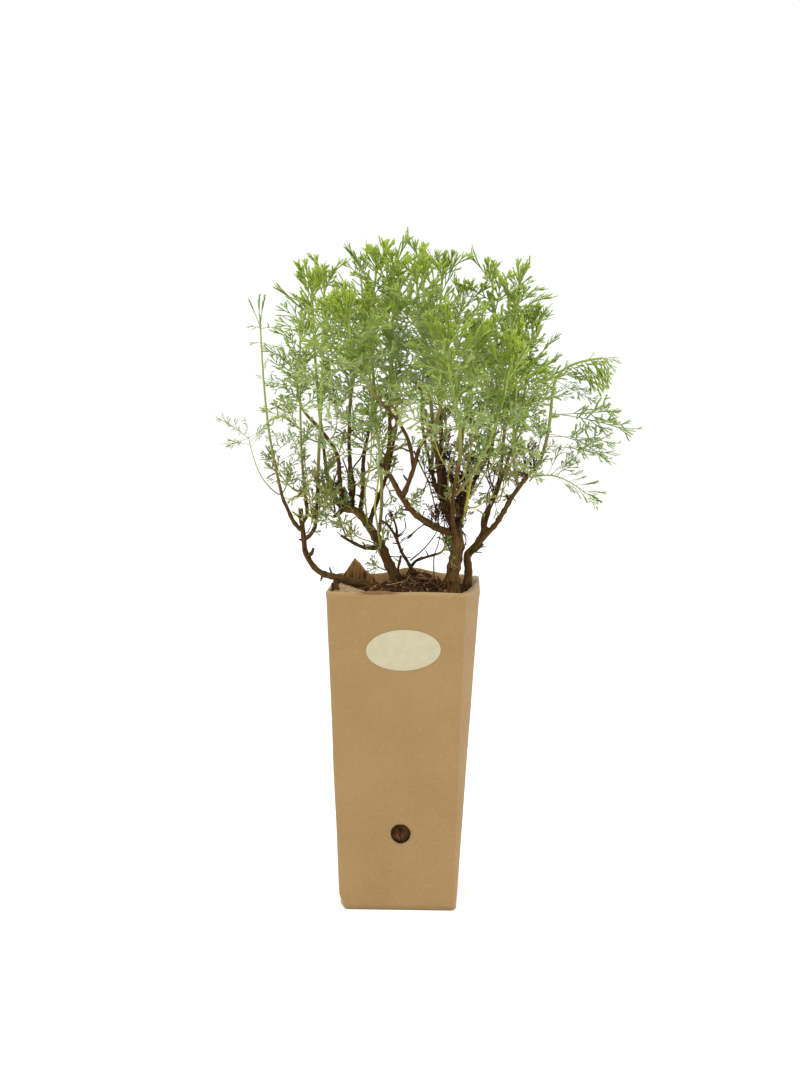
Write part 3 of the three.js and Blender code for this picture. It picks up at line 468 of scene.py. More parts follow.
LIMB_LINES = {
    f"{piece}.{name}": limb_line(route)
    for piece, limbs in WOOD.items()
    for name, (_, _, route) in limbs.items()
}


def limb_radius(limb, share):
    """How thick a limb is at a share of its length."""
    piece, name = limb.split(".")
    root_radius, tip_radius, _ = WOOD[piece][name]
    return lerp(root_radius, tip_radius, share)


def shoot_line(shoot):
    """The green stem of a shoot, from its seat on the wood to its tip."""
    carrier = LIMB_LINES[shoot["on"]]
    at = shoot.get("at", 1)
    tip = Vector(shoot["tip"])
    seat = carrier.at(at)
    along = carrier.heading(at)
    if "at" in shoot:
        wanted = (tip - seat).normalized()
        wanted = (wanted - along * wanted.dot(along)).normalized()
        stem = SHOOT_RADIUS_ROOT * math.sqrt(shoot.get("size", 1))
        seat = seat + wanted * (limb_radius(shoot["on"], at) + GAP + SIDE_STANDOFF * stem)
        along = (wanted + along * SIDE_LEAN).normalized()
    else:
        seat = seat + along * GAP * (3 if "leave" in shoot else 1)
    if "leave" in shoot:
        along = Vector(shoot["leave"]).normalized()
    reach = (tip - seat).length * shoot.get("bend", SHOOT_BEND)
    rise = (tip - seat).normalized().lerp(Vector(shoot.get("lean", (0, 0, 1))), SHOOT_RISE).normalized()
    a, b, c, d = seat, seat + along * reach, tip - rise * reach, tip
    shares = [k / SHOOT_STEPS for k in range(SHOOT_STEPS + 1)]
    return Line([a * (1 - t) ** 3 + b * 3 * (1 - t) * (1 - t) * t + c * 3 * (1 - t) * t * t + d * t ** 3
                 for t in shares])


def band(low, high, sides):
    """The faces between two rings of points, given by the numbers of their first points."""
    return [[low + k, low + (k + 1) % sides, high + (k + 1) % sides, high + k] for k in range(sides)]


def fan(first, sides, middle, flip=False):
    """The faces from a ring of points to one in its middle."""
    pairs = [(first + k, first + (k + 1) % sides) for k in range(sides)]
    return [[b, a, middle] if flip else [a, b, middle] for a, b in pairs]


def keep(name, points, faces, unit=MM):
    """A named mesh in metres from points in millimetres, or in another unit."""
    mesh = bpy.data.meshes.new(name)
    mesh.from_pydata([tuple(c * unit for c in p) for p in points], [], faces)
    mesh.update()
    return mesh


def mark(mesh, name, values, kind="FLOAT"):
    """Stores one value for every point of a mesh."""
    vector = kind == "FLOAT_VECTOR"
    flat = [c for v in values for c in v] if vector else list(values)
    mesh.attributes.new(name, kind, "POINT").data.foreach_set("vector" if vector else "value", flat)


def show(name, data):
    piece = bpy.data.objects.new(name, data)
    bpy.context.scene.collection.objects.link(piece)
    return piece


def faces_out(mesh):
    """Turns a closed mesh's faces outwards."""
    made = bmesh.new()
    made.from_mesh(mesh)
    bmesh.ops.recalc_face_normals(made, faces=made.faces)
    made.to_mesh(mesh)
    made.free()


def smooth_piece(name, points, faces, finish, **marks):
    """A smooth piece in one finish, its faces outwards, with a value at each point for each mark."""
    mesh = keep(name, points, faces)
    faces_out(mesh)
    for key, values in marks.items():
        mark(mesh, key, values)
    mesh.materials.append(finish)
    for face in mesh.polygons:
        face.use_smooth = True
    return show(name, mesh)


def settle(piece, slot, *nodes):
    """Hands a finished piece to the frame."""
    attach(piece, "root")
    if nodes:
        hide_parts(*nodes)


def evaluated(piece):
    """A plain mesh of what a piece's modifiers make."""
    graph = bpy.context.evaluated_depsgraph_get()
    return bpy.data.meshes.new_from_object(
        piece.evaluated_get(graph), preserve_all_data_layers=True, depsgraph=graph)


class Skin:
    """Collects closed strips of faces for one mesh, each point with its share along the whole."""

    def __init__(self):
        self.points = []
        self.faces = []
        self.along = []

    def strip(self, rings, tip, shares):
        """A closed skin over rings of equally many points, ended by a single tip point."""
        first = len(self.points)
        sides = len(rings[0])
        last = first + (len(rings) - 1) * sides
        for ring, share in zip(rings, shares):
            self.points += ring
            self.along += [share] * sides
        self.points.append(tip)
        self.along.append(shares[-1])
        self.faces.append([first + k for k in reversed(range(sides))])
        for base in range(first, last, sides):
            self.faces += band(base, base + sides, sides)
        self.faces += fan(last, sides, last + sides)

    def mesh(self, name):
        return keep(name, self.points, self.faces, unit=1)


# Node trees, which make the finishes and whatever repeats or follows a line.

FLOAT, WHOLE, SHAPE, FINISH, GROUP = (
    "NodeSocket" + kind for kind in ("Float", "Int", "Geometry", "Material", "Collection"))


def put(tree, kind, inputs=None, **settings):
    """Adds a node. A number, name or output is given for each input that isn't left as it is."""
    made = tree.nodes.new(kind)
    for key, value in settings.items():
        setattr(made, key, value)
    for key, value in (inputs or {}).items():
        if isinstance(value, bpy.types.Node):
            value = value.outputs[0]
        if isinstance(value, bpy.types.NodeSocket):
            tree.links.new(value, made.inputs[key])
        else:
            made.inputs[key].default_value = value
    return made


def maths(tree, operation, a, b=0.0):
    return put(tree, "ShaderNodeMath", {0: a, 1: b}, operation=operation).outputs[0]


def between(tree, value, low, high, to_low=0.0, to_high=1.0):
    """A soft step of a value from one number to another."""
    inputs = {0: value, 1: low, 2: high, 3: to_low, 4: to_high}
    return put(tree, "ShaderNodeMapRange", inputs, interpolation_type="SMOOTHSTEP").outputs[0]


def mixed(tree, share, a, b):
    """Two colours mixed by a share. A colour of three numbers is one read off a screen."""
    a, b = (colour(*c) if isinstance(c, tuple) and len(c) == 3 else c for c in (a, b))
    return put(tree, "ShaderNodeMix", {0: share, 6: a, 7: b}, data_type="RGBA").outputs[2]


def stretched(tree, vector, *factors):
    """A vector with its three parts multiplied, where there is a factor."""
    parts = put(tree, "ShaderNodeSeparateXYZ", {0: vector}).outputs
    return put(tree, "ShaderNodeCombineXYZ", {
        k: maths(tree, "MULTIPLY", parts[k], factor) if factor else parts[k]
        for k, factor in enumerate(factors)})


def object_place(tree):
    return put(tree, "ShaderNodeTexCoord").outputs["Object"]


def tree_with(name, kind, inputs, output, socket):
    """An empty node group with its named sockets, and its two end nodes."""
    tree = bpy.data.node_groups.new(name, kind)
    for label, (given, value) in inputs.items():
        made = tree.interface.new_socket(label, in_out="INPUT", socket_type=given)
        if value is not None:
            made.default_value = value
    tree.interface.new_socket(output, in_out="OUTPUT", socket_type=socket)
    return tree, tree.nodes.new("NodeGroupInput").outputs, tree.nodes.new("NodeGroupOutput").inputs[output]


def effect_with(name, **inputs):
    """An empty shared effect: a group with its values, which gives a mask."""
    sockets = {key.capitalize(): (FLOAT, value) for key, value in inputs.items()}
    return tree_with(name, "ShaderNodeTree", sockets, "Mask", FLOAT)


def speckle_effect():
    """Small round specks scattered through the stuff, some cells only."""
    tree, given, result = effect_with("specks", scale=900.0, share=0.2, radius=0.3)
    cells = put(tree, "ShaderNodeTexVoronoi", {"Vector": object_place(tree), "Scale": given["Scale"]})
    chance = put(tree, "ShaderNodeSeparateColor", {0: cells.outputs["Color"]})
    chosen = maths(tree, "LESS_THAN", chance, given["Share"])
    size = maths(tree, "MULTIPLY", given["Radius"], chance.outputs[1])
    spot = between(tree, cells.outputs["Distance"], size, maths(tree, "MULTIPLY", size, 0.5))
    tree.links.new(maths(tree, "MULTIPLY", chosen, spot), result)
    return tree


def fibre_effect():
    """Short fibres pressed flat in all directions."""
    tree, given, result = effect_with("pressed_fibres", scale=500.0, stretch=9.0, share=0.3)
    place = object_place(tree)
    edge = maths(tree, "SUBTRACT", 0.86, maths(tree, "MULTIPLY", given["Share"], 0.5))
    whole = None
    for turn, shift in (((0.3, 0.5, 0.2), 0.0), ((1.2, -0.6, 0.9), 3.0), ((-0.7, 1.0, -1.1), 7.0)):
        turned = put(tree, "ShaderNodeVectorRotate", {"Vector": place, "Rotation": turn},
                     rotation_type="EULER_XYZ")
        parts = put(tree, "ShaderNodeSeparateXYZ", {0: turned}).outputs
        slow = maths(tree, "DIVIDE", parts[0], given["Stretch"])
        joined = put(tree, "ShaderNodeCombineXYZ", {0: slow, 1: parts[1], 2: parts[2]})
        moved = put(tree, "ShaderNodeVectorMath", {0: joined, 1: (shift, shift, shift)}, operation="ADD")
        grain = put(tree, "ShaderNodeTexNoise", {"Vector": moved, "Scale": given["Scale"], "Detail": 1.0})
        strand = between(tree, grain, edge, maths(tree, "ADD", edge, 0.1))
        whole = maths(tree, "MAXIMUM", whole, strand) if whole else strand
    tree.links.new(whole, result)
    return tree


def patch_effect():
    """Soft cloudy patches."""
    tree, given, result = effect_with("patches", scale=30.0, low=0.4, high=0.6, detail=3.0)
    cloud = put(tree, "ShaderNodeTexNoise", {
        "Vector": object_place(tree), "Scale": given["Scale"], "Detail": given["Detail"]})
    tree.links.new(between(tree, cloud, given["Low"], given["High"]), result)
    return tree


def grain_effect():
    """Ridges that run lengthwise round a stem, read from the point's place round and along it."""
    tree, given, result = effect_with("long_grain", round=3.0, along=60.0, low=0.4, high=0.6)
    place = put(tree, "ShaderNodeAttribute", attribute_name="grain").outputs["Vector"]
    joined = stretched(tree, place, given["Round"], given["Round"], given["Along"])
    ridges = put(tree, "ShaderNodeTexNoise", {"Vector": joined, "Scale": 1.0, "Detail": 3.0})
    tree.links.new(between(tree, ridges, given["Low"], given["High"]), result)
    return tree


EFFECTS = {
    "specks": speckle_effect(),
    "fibres": fibre_effect(),
    "patches": patch_effect(),
    "grain": grain_effect(),
}


class Finish:
    """A material under construction. The numbers given are the same all over it."""

    def __init__(self, name, roughness=0.9, **sockets):
        self.material = bpy.data.materials.new(name)
        self.material.use_nodes = True
        self.tree = self.material.node_tree
        self.shader = self.tree.nodes["Principled BSDF"]
        for key, value in {"Roughness": roughness, **sockets}.items():
            self.shader.inputs[key.replace("_", " ")].default_value = value

    def mask(self, name, strength=1, **values):
        """How strongly a shared effect, or else an attribute of the piece, shows at each place."""
        if name in EFFECTS:
            inputs = {key.capitalize(): value for key, value in values.items()}
            share = put(self.tree, "ShaderNodeGroup", inputs, node_tree=EFFECTS[name]).outputs["Mask"]
        else:
            share = put(self.tree, "ShaderNodeAttribute", attribute_name=name).outputs["Fac"]
        return share if strength == 1 else maths(self.tree, "MULTIPLY", share, strength)

    def layer(self, under, over, name, strength=1, **values):
        """One colour over another, where an effect or an attribute shows."""
        return mixed(self.tree, self.mask(name, strength, **values), under, over)

    def ramp(self, value, stops):
        """A colour for each value, from stops of a value, red, green and blue."""
        made = put(self.tree, "ShaderNodeValToRGB", {0: value})
        entries = made.color_ramp.elements
        while len(entries) < len(stops):
            entries.new(0.5)
        for entry, (place, *tone) in zip(entries, stops):
            entry.position = place
            entry.color = colour(*tone)
        return made

    def done(self, body, height, depth, rough=None, limits=None):
        """Links the colour, the relief, whose depth is in millimetres, and a roughness that varies."""
        self.tree.links.new(body, self.shader.inputs["Base Color"])
        if rough:
            self.tree.links.new(between(self.tree, rough, 0.0, 1.0, *limits), self.shader.inputs["Roughness"])
        made = put(self.tree, "ShaderNodeBump", {"Height": height, "Distance": depth * MM, "Strength": 1.0})
        self.tree.links.new(made.outputs[0], self.shader.inputs["Normal"])
        return self.material


def kraft_finish():
    """Kraft board: cloudy, with fibres and with pale and dark specks, and paler where cut. Its inside is
    painted lighter as painted light, and darker just above the soil as painted shade.
    """
    kraft = Finish("speckled_kraft", Specular_IOR_Level=0.5, Sheen_Weight=0.12, Sheen_Roughness=0.4)
    body = kraft.layer((142, 112, 64), (148, 118, 70), "patches", scale=24, low=0.35, high=0.65)
    body = kraft.layer(body, (141, 110, 62), "patches", 0.35, scale=700, low=0.42, high=0.62, detail=2)
    # The inside colour is a lighter copy of the board: painted light on the inside walls, the flap and the
    # lip.
    inside = kraft.layer((196, 160, 100), (178, 142, 84), "patches", scale=60, low=0.4, high=0.62)
    body = kraft.layer(body, inside, "inside")
    body = kraft.layer(body, (186, 158, 110), "fibres", 0.22, scale=1500, stretch=5, share=0.4)
    body = kraft.layer(body, (190, 162, 118), "specks", 0.3, scale=900, share=0.1, radius=0.45)
    body = kraft.layer(body, (104, 72, 38), "specks", 0.45, scale=760, share=0.07, radius=0.42)
    body = kraft.layer(body, (178, 150, 104), "cut", 0.8)
    # Darker where stained, and low inside the pot above the soil, where the dark is painted shade.
    body = kraft.layer(body, (70, 40, 12), "stain", 0.85)
    height = maths(kraft.tree, "ADD", kraft.mask("patches", scale=900, low=0.3, high=0.7),
                   kraft.mask("fibres", 0.8, scale=1500, stretch=5, share=0.4))
    return kraft.done(body, height, 0.02, kraft.mask("patches", scale=300, low=0.3, high=0.7), (0.52, 0.64))


def torn_board_finish():
    """The raised ear: brown inner ply with a drawn-out grain, lighter along its torn edge."""
    torn = Finish("torn_inner_ply", 0.92, Specular_IOR_Level=0.08)
    drawn = stretched(torn.tree, object_place(torn.tree), None, None, 0.14)
    streak = put(torn.tree, "ShaderNodeTexNoise", {"Vector": drawn, "Scale": 520.0, "Detail": 3.0})
    body = mixed(torn.tree, between(torn.tree, streak, 0.38, 0.62), (72, 51, 25), (128, 97, 54))
    body = torn.layer(body, (84, 60, 28), "patches", 0.5, scale=120, low=0.45, high=0.65)
    body = torn.layer(body, (146, 112, 66), "specks", 0.6, scale=600, share=0.14, radius=0.5)
    body = torn.layer(body, (168, 120, 66), "cut", 0.85)
    return torn.done(body, streak, 0.4)


def label_finish():
    """The bare cream sticker."""
    label = Finish("label_paper", 0.55)
    body = label.layer((181, 173, 142), (175, 168, 137), "patches", scale=180, low=0.35, high=0.65)
    body = label.layer(body, (196, 190, 162), "fibres", 0.25, scale=900, stretch=7, share=0.3)
    body = label.layer(body, (160, 150, 118), "cut")
    return label.done(body, label.mask("patches", scale=900, low=0.3, high=0.7), 0.02,
                      label.mask("patches", scale=500, low=0.3, high=0.7), (0.5, 0.64))


def soil_finish():
    """Dark peat with paler fibres and specks."""
    peat = Finish("peaty_soil", 0.95, Specular_IOR_Level=0.12)
    body = peat.layer((40, 25, 12), (76, 51, 27), "patches", scale=420, low=0.35, high=0.65, detail=4)
    body = peat.layer(body, (104, 78, 50), "fibres", scale=420, stretch=8, share=0.4)
    body = peat.layer(body, (150, 128, 98), "specks", scale=500, share=0.1, radius=0.5)
    return peat.done(body, peat.mask("patches", scale=600, low=0.2, high=0.8, detail=5), 0.5,
                     peat.mask("patches", scale=300, low=0.3, high=0.7), (0.86, 1.0))


def litter_finish():
    """Dead bits of bark and leaf, each in its own brown."""
    dead = Finish("dry_litter", Specular_IOR_Level=0.15)
    ramp = dead.ramp(dead.mask("tint"), [
        (0.0, 30, 20, 13), (0.35, 66, 45, 27), (0.62, 102, 70, 40), (0.84, 130, 94, 56), (1.0, 166, 134, 92)])
    body = dead.layer(ramp, (40, 28, 18), "patches", scale=900, low=0.3, high=0.7)
    body = mixed(dead.tree, 0.65, body, ramp)
    return dead.done(body, dead.mask("patches", scale=1500, low=0.2, high=0.8), 0.15)


def bark_finish(name, dark, middle, light):
    """Ridged bark with reddish and mossy patches, greener where a limb is young."""
    bark = Finish(name, Specular_IOR_Level=0.1)
    wide = bark.mask("grain", round=2.2, along=70, low=0.36, high=0.62)
    fine = bark.mask("grain", round=6.5, along=160, low=0.4, high=0.6)
    body = mixed(bark.tree, wide, dark, middle)
    body = mixed(bark.tree, maths(bark.tree, "MULTIPLY", fine, 0.55), body, light)
    body = bark.layer(body, (108, 60, 34), "patches", 0.5, scale=160, low=0.5, high=0.68)
    body = bark.layer(body, (92, 78, 34), "patches", 0.4, scale=110, low=0.52, high=0.7)
    body = bark.layer(body, (146, 112, 68), "specks", 0.4, scale=700, share=0.1, radius=0.5)
    body = bark.layer(body, (120, 104, 48), "young", 0.6)
    height = maths(bark.tree, "ADD", wide, maths(bark.tree, "MULTIPLY", fine, 0.6))
    return bark.done(body, height, 0.35, fine, (0.96, 0.8))


def foliage_finish(name, leaf_stops, stem_stops):
    """Soft grey-green leaves, from the oldest to the youngest, and their stems."""
    leaf = Finish(name, Sheen_Weight=0.12, Sheen_Roughness=0.5, Specular_IOR_Level=0.3,
                  Subsurface_Weight=0.35, Subsurface_Scale=0.0015, Subsurface_Radius=(0.9, 1.0, 0.35))
    age, tint = leaf.mask("age"), leaf.mask("tint")
    body = leaf.ramp(age, leaf_stops)
    for value, low, high, to_low, to_high, tone in (
            (tint, 0.0, 0.35, 0.45, 0.0, (124, 148, 88)), (tint, 0.8, 1.0, 0.0, 0.4, (170, 180, 74)),
            (leaf.mask("along"), 0.45, 0.0, 0.0, 0.35, (166, 178, 96))):
        body = mixed(leaf.tree, between(leaf.tree, value, low, high, to_low, to_high), body, tone)
    body = leaf.layer(body, leaf.ramp(age, stem_stops), "stalk")
    cloud = leaf.mask("patches", scale=900, low=0.3, high=0.7, detail=2)
    body = mixed(leaf.tree, maths(leaf.tree, "MULTIPLY", cloud, 0.2), body, (126, 148, 68))
    return leaf.done(body, cloud, 0.06, cloud, (0.62, 0.8))


def withered_finish():
    """Dead leaves, from nearly black to tan."""
    dead = Finish("withered_leaves", Specular_IOR_Level=0.12)
    ramp = dead.ramp(dead.mask("tint"), [
        (0.0, 34, 23, 17), (0.5, 64, 42, 27), (0.8, 104, 66, 36), (1.0, 152, 106, 54)])
    cloud = dead.mask("patches", scale=800, low=0.3, high=0.7, detail=2)
    body = mixed(dead.tree, maths(dead.tree, "MULTIPLY", cloud, 0.4), ramp, (82, 62, 34))
    return dead.done(body, cloud, 0.08, cloud, (0.8, 0.96))


KRAFT = kraft_finish()
TORN_BOARD = torn_board_finish()
LABEL_PAPER = label_finish()
SOIL = soil_finish()
LITTER = litter_finish()
BARK = bark_finish("old_bark", (45, 29, 14), (88, 61, 31), (126, 98, 54))
DRY_TWIG = bark_finish("dry_twig", (40, 26, 17), (76, 50, 29), (116, 86, 54))
FOLIAGE = foliage_finish(
    "hoary_foliage",
    [(0.0, 150, 164, 102), (0.35, 148, 165, 86), (0.7, 142, 165, 48), (1.0, 150, 174, 34)],
    [(0.0, 104, 76, 40), (0.12, 122, 108, 52), (0.3, 138, 146, 70), (1.0, 154, 172, 74)])
# A darker, more olive copy of the leaves for those deep inside the plant: painted shade. Its stems are
# yellower, as the inner strands are.
SHADED_INNER_FOLIAGE = foliage_finish(
    "shaded_inner_foliage",
    [(0.0, 128, 128, 74), (0.35, 126, 130, 66), (0.7, 132, 140, 52), (1.0, 140, 148, 46)],
    [(0.0, 104, 76, 40), (0.12, 122, 104, 50), (0.3, 150, 142, 58), (1.0, 174, 166, 60)])
WITHERED = withered_finish()

# The pot: how finely it is built, the bulge of its flat front corner, the height below the rim
# over which the rim's waves fade, and the foot of its front left corner, which is folded in.
POT_LEVELS = 72
POT_SIDE_STEPS = 26
POT_CORNER_STEPS = 8
FOLD_BULGE = 0.35
RIM_ZONE = 12
FOOT_FOLD = {"deep": 2.5, "high": 10}


def eased(k, count):
    """Steps from 0 to 1 that are closer together at both ends."""
    return 0.5 - 0.5 * math.cos(math.pi * k / count)


def frontal_half(z):
    return lerp(HALF_BOTTOM, HALF_TOP, z / POT_HEIGHT)


def pot_outline(z, inset, corner_steps=POT_CORNER_STEPS, side_steps=POT_SIDE_STEPS):
    """The pot seen from above at a height: rounded corners, the front right one a flat fold."""
    share = z / POT_HEIGHT
    half = frontal_half(z) - inset
    centre = TOP_SHIFT * share
    r = max(CORNER_RADIUS - inset, 0.8)
    arcs = []
    for k, (x, y) in enumerate(((1, 1), (-1, 1), (-1, -1))):
        pull = BACK_PULL * share if k == 0 else 0
        angles = [(k + i / corner_steps) * math.pi / 2 for i in range(corner_steps + 1)]
        arcs.append([Vector((centre + x * (half - r) + r * math.cos(angle) - pull,
                             y * (half - r) + r * math.sin(angle))) for angle in angles])
    crease = Vector((centre + half - max(lerp(*FOLD_FRONT, share) - inset * 0.4, 1), -half))
    side = Vector((centre + half, -half + max(lerp(*FOLD_SIDE, share) - inset * 0.4, 1)))
    away = Vector((side.y - crease.y, crease.x - side.x)).normalized()
    steps = [eased(i, corner_steps) for i in range(corner_steps + 1)]
    arcs.append([crease.lerp(side, step) + away * FOLD_BULGE * math.sin(math.pi * step) for step in steps])
    outline = []
    for arc, following in zip(arcs, [*arcs[1:], arcs[0]]):
        outline += arc
        outline += [arc[-1].lerp(following[0], eased(i + 1, side_steps + 1)) for i in range(side_steps)]
    return outline


def rim_height(x, y):
    """The rim isn't level: the back edge stands a little higher and has a soft hump."""
    hump = 4 * math.exp(-((x - 4) / 13) ** 2) * smoothstep(y, 30, 44)
    wave = 0.25 * ripple(x / 4, y / 4, 3)
    worn = 3 * smoothstep(x, 37, 46) * smoothstep(y, 34, 43)
    return POT_HEIGHT - 0.8 + 0.3 * math.sin(x / 9) + 1.9 * smoothstep(y, -30, 40) + hump + wave - worn


def wall_dent(x, y, z):
    """How far the board stands out of its flat wall: a fold line under the rim and soft dents."""
    fold = 0.22 * smoothstep(z, POT_HEIGHT - 5.5, POT_HEIGHT - 4.4)
    return fold + 0.35 * ripple(x / 26, y / 26, z / 34) * math.sin(math.pi * min(z / POT_HEIGHT, 1))


def pot_ring(z, inset):
    """The dented outline of the board at a height. Near the rim it follows the rim's waves."""
    points = []
    centre = TOP_SHIFT * min(z, POT_HEIGHT) / POT_HEIGHT
    waves = max(z - POT_HEIGHT + RIM_ZONE, 0) / RIM_ZONE
    fold = FOOT_FOLD["deep"] * smoothstep(FOOT_FOLD["high"] - z, 0, FOOT_FOLD["high"])
    for p in pot_outline(min(z, POT_HEIGHT), inset):
        height = z + (rim_height(p.x, p.y) - POT_HEIGHT) * waves
        x, y = p
        out = wall_dent(x, y, z)
        away = Vector((x - centre, y))
        if abs(away.x) > abs(away.y):
            x += math.copysign(1, away.x) * out
        else:
            y += math.copysign(1, away.y) * out
        if x < 0 and y < 0 and fold > 0:
            near = smoothstep(-x, HALF_BOTTOM - 7, HALF_BOTTOM)
            x += fold * near * smoothstep(-y, HALF_BOTTOM - 12, HALF_BOTTOM - 2)
        points.append(Vector((x, y, height)))
    return points


def pot_piece():
    """The pot's walls and floor, outside and inside, before the drain hole is cut."""
    walls = [FOOT_CHAMFER + (POT_HEIGHT - FOOT_CHAMFER) * k / POT_LEVELS for k in range(POT_LEVELS)]
    inner = [POT_HEIGHT - 2 - k * 5 for k in range(4)]
    inner += [POT_HEIGHT - 22 - k * 24 for k in range(7)] + [FLOOR]
    # each row: its height, how far in it lies, whether it is inside, whether it is cut board
    rows = [(0, FOOT_CHAMFER, 0, 0), *((z, 0, 0, 0) for z in walls), (POT_HEIGHT - 0.3, 0, 0, 0.5),
            (POT_HEIGHT, 0.35, 0, 1), (POT_HEIGHT, WALL - 0.35, 0.5, 1), (POT_HEIGHT - 0.4, WALL, 1, 0.3),
            *((z, WALL, 1, 0) for z in inner)]
    points, faces, inside, cut, stain = [], [], [], [], []
    for z, inset, is_inside, is_cut in rows:
        ring = pot_ring(z, inset)
        sides = len(ring)
        if points:
            faces += band(len(points) - sides, len(points), sides)
        points += ring
        inside += [is_inside] * sides
        cut += [is_cut] * sides
        # Inside, the board darkens towards the soil as painted shade; outside, it is darker at the very foot.
        darker_below = 0.6 * smoothstep(190.5 - z, 0, 3) if is_inside else 0.75 * smoothstep(1.6 - z, 0, 1.6)
        stain += [darker_below] * sides
    last = len(points) - sides
    for z, first, under in ((0, 0, True), (FLOOR, last, False)):
        faces += fan(first, sides, len(points), under)
        points.append(Vector((0, 0, z)))
        inside.append(0 if under else 1)
        cut.append(0)
        stain.append(0)
    return smooth_piece("kraft_pot", points, faces, KRAFT, inside=inside, cut=cut, stain=stain)


def drilled(piece):
    """Cuts the round drain hole through the front wall."""
    sides = 48
    points = []
    front = -frontal_half(DRAIN["z"])
    for y in (front - 6, front + 6):
        for k in range(sides):
            angle = 2 * math.pi * k / sides
            radius = DRAIN["radius"] * (1 + 0.012 * math.sin(3 * angle) + 0.008 * math.sin(7 * angle))
            points.append((DRAIN["x"] + radius * math.cos(angle), y, DRAIN["z"] + radius * math.sin(angle)))
    ends = [list(reversed(range(sides))), [sides + k for k in range(sides)]]
    drill = show("drill", keep("drill", points, [*band(0, sides, sides), *ends]))
    faces_out(drill.data)
    cutter = piece.modifiers.new("drain", "BOOLEAN")
    cutter.operation = "DIFFERENCE"
    cutter.solver = "EXACT"
    cutter.object = drill
    mesh = evaluated(piece)
    piece.modifiers.remove(cutter)
    piece.data = mesh
    bpy.data.objects.remove(drill)
    return piece


def set_stage():
    """The photo's camera, a white surround with four soft lamps, and a pale floor."""
    scene = bpy.context.scene
    scene.view_settings.view_transform = "Standard"
    camera = bpy.data.cameras.new("photo_view")
    camera.sensor_width = CAMERA_SENSOR
    camera.lens = CAMERA_LENS
    seen = show("photo_view", camera)
    seen.location = (CAMERA_DISTANCE * math.sin(CAMERA_AZIMUTH), -CAMERA_DISTANCE * math.cos(CAMERA_AZIMUTH),
                     CAMERA_HEIGHT)
    seen.rotation_euler = (math.pi / 2 - CAMERA_PITCH, 0, CAMERA_TURN)
    scene.camera = seen

    world = bpy.data.worlds.new("white_tent")
    world.use_nodes = True
    scene.world = world
    tree = world.node_tree
    back = tree.nodes["Background"]
    back.inputs["Color"].default_value = (1, 1, 1, 1)
    straight = put(tree, "ShaderNodeLightPath").outputs["Is Camera Ray"]
    tree.links.new(between(tree, straight, 0.0, 1.0, 0.9, 1.05), back.inputs["Strength"])

    for name, place, size, power in (
            ("left_soft", (-1.0, -0.5, 0.9), 0.9, 3.2), ("right_soft", (1.1, -0.35, 0.8), 0.9, 4.4),
            ("top_soft", (0.0, -0.3, 1.5), 1.1, 5.5), ("front_soft", (-0.3, -1.7, 0.9), 0.9, 3.2)):
        lamp = bpy.data.lights.new(name, "AREA")
        lamp.shape = "SQUARE"
        lamp.size = size
        lamp.energy = power
        light = show(name, lamp)
        light.location = place
        light.rotation_euler = (Vector(LAMPS_AIM) - Vector(place)).to_track_quat("-Z", "Y").to_euler()

    corners = [(x * FLOOR_REACH, y * FLOOR_REACH, 0) for x, y in ((-1, -1), (1, -1), (1, 1), (-1, 1))]
    floor = show("white_floor", keep("white_floor", corners, [[0, 1, 2, 3]]))
    sweep = Finish("white_sweep", Emission_Strength=0.34, Emission_Color=(1, 1, 1, 1))
    tone = sweep.layer((0.88, 0.88, 0.88, 1), (0.9, 0.9, 0.9, 1), "patches", scale=6, low=0.3, high=0.7)
    sweep.tree.links.new(tone, sweep.shader.inputs["Base Color"])
    floor.data.materials.append(sweep.material)


set_stage()


def bent_panel(across, up, rule):
    """A closed panel of two skins, from a rule that places each point by its three shares."""
    points = [rule(i / across, j / up, side)
              for i in range(across + 1) for j in range(up + 1) for side in (0, 1)]

    def quad(*corners):
        return [(i * (up + 1) + j) * 2 + side for i, j, side in corners]

    faces = []
    for i in range(across):
        for j in range(up):
            faces.append(quad((i, j, 0), (i + 1, j, 0), (i + 1, j + 1, 0), (i, j + 1, 0)))
            faces.append(quad((i, j + 1, 1), (i + 1, j + 1, 1), (i + 1, j, 1), (i, j, 1)))
    for i in range(across):
        faces.append(quad((i, 0, 1), (i + 1, 0, 1), (i + 1, 0, 0), (i, 0, 0)))
        faces.append(quad((i, up, 0), (i + 1, up, 0), (i + 1, up, 1), (i, up, 1)))
    for j in range(up):
        faces.append(quad((0, j, 0), (0, j + 1, 0), (0, j + 1, 1), (0, j, 1)))
        faces.append(quad((across, j, 1), (across, j + 1, 1), (across, j + 1, 0), (across, j, 0)))
    return points, faces


def board_piece(name, across, up, rule, looks, finish=KRAFT):
    """A panel of board. Its looks give inside, cut and stain for each step across and up."""
    marks = [looks(i, j) for i in range(across + 1) for j in range(up + 1) for _ in (0, 1)]
    inside, cut, stain = zip(*marks)
    return smooth_piece(name, *bent_panel(across, up, rule), finish, inside=inside, cut=cut, stain=stain)


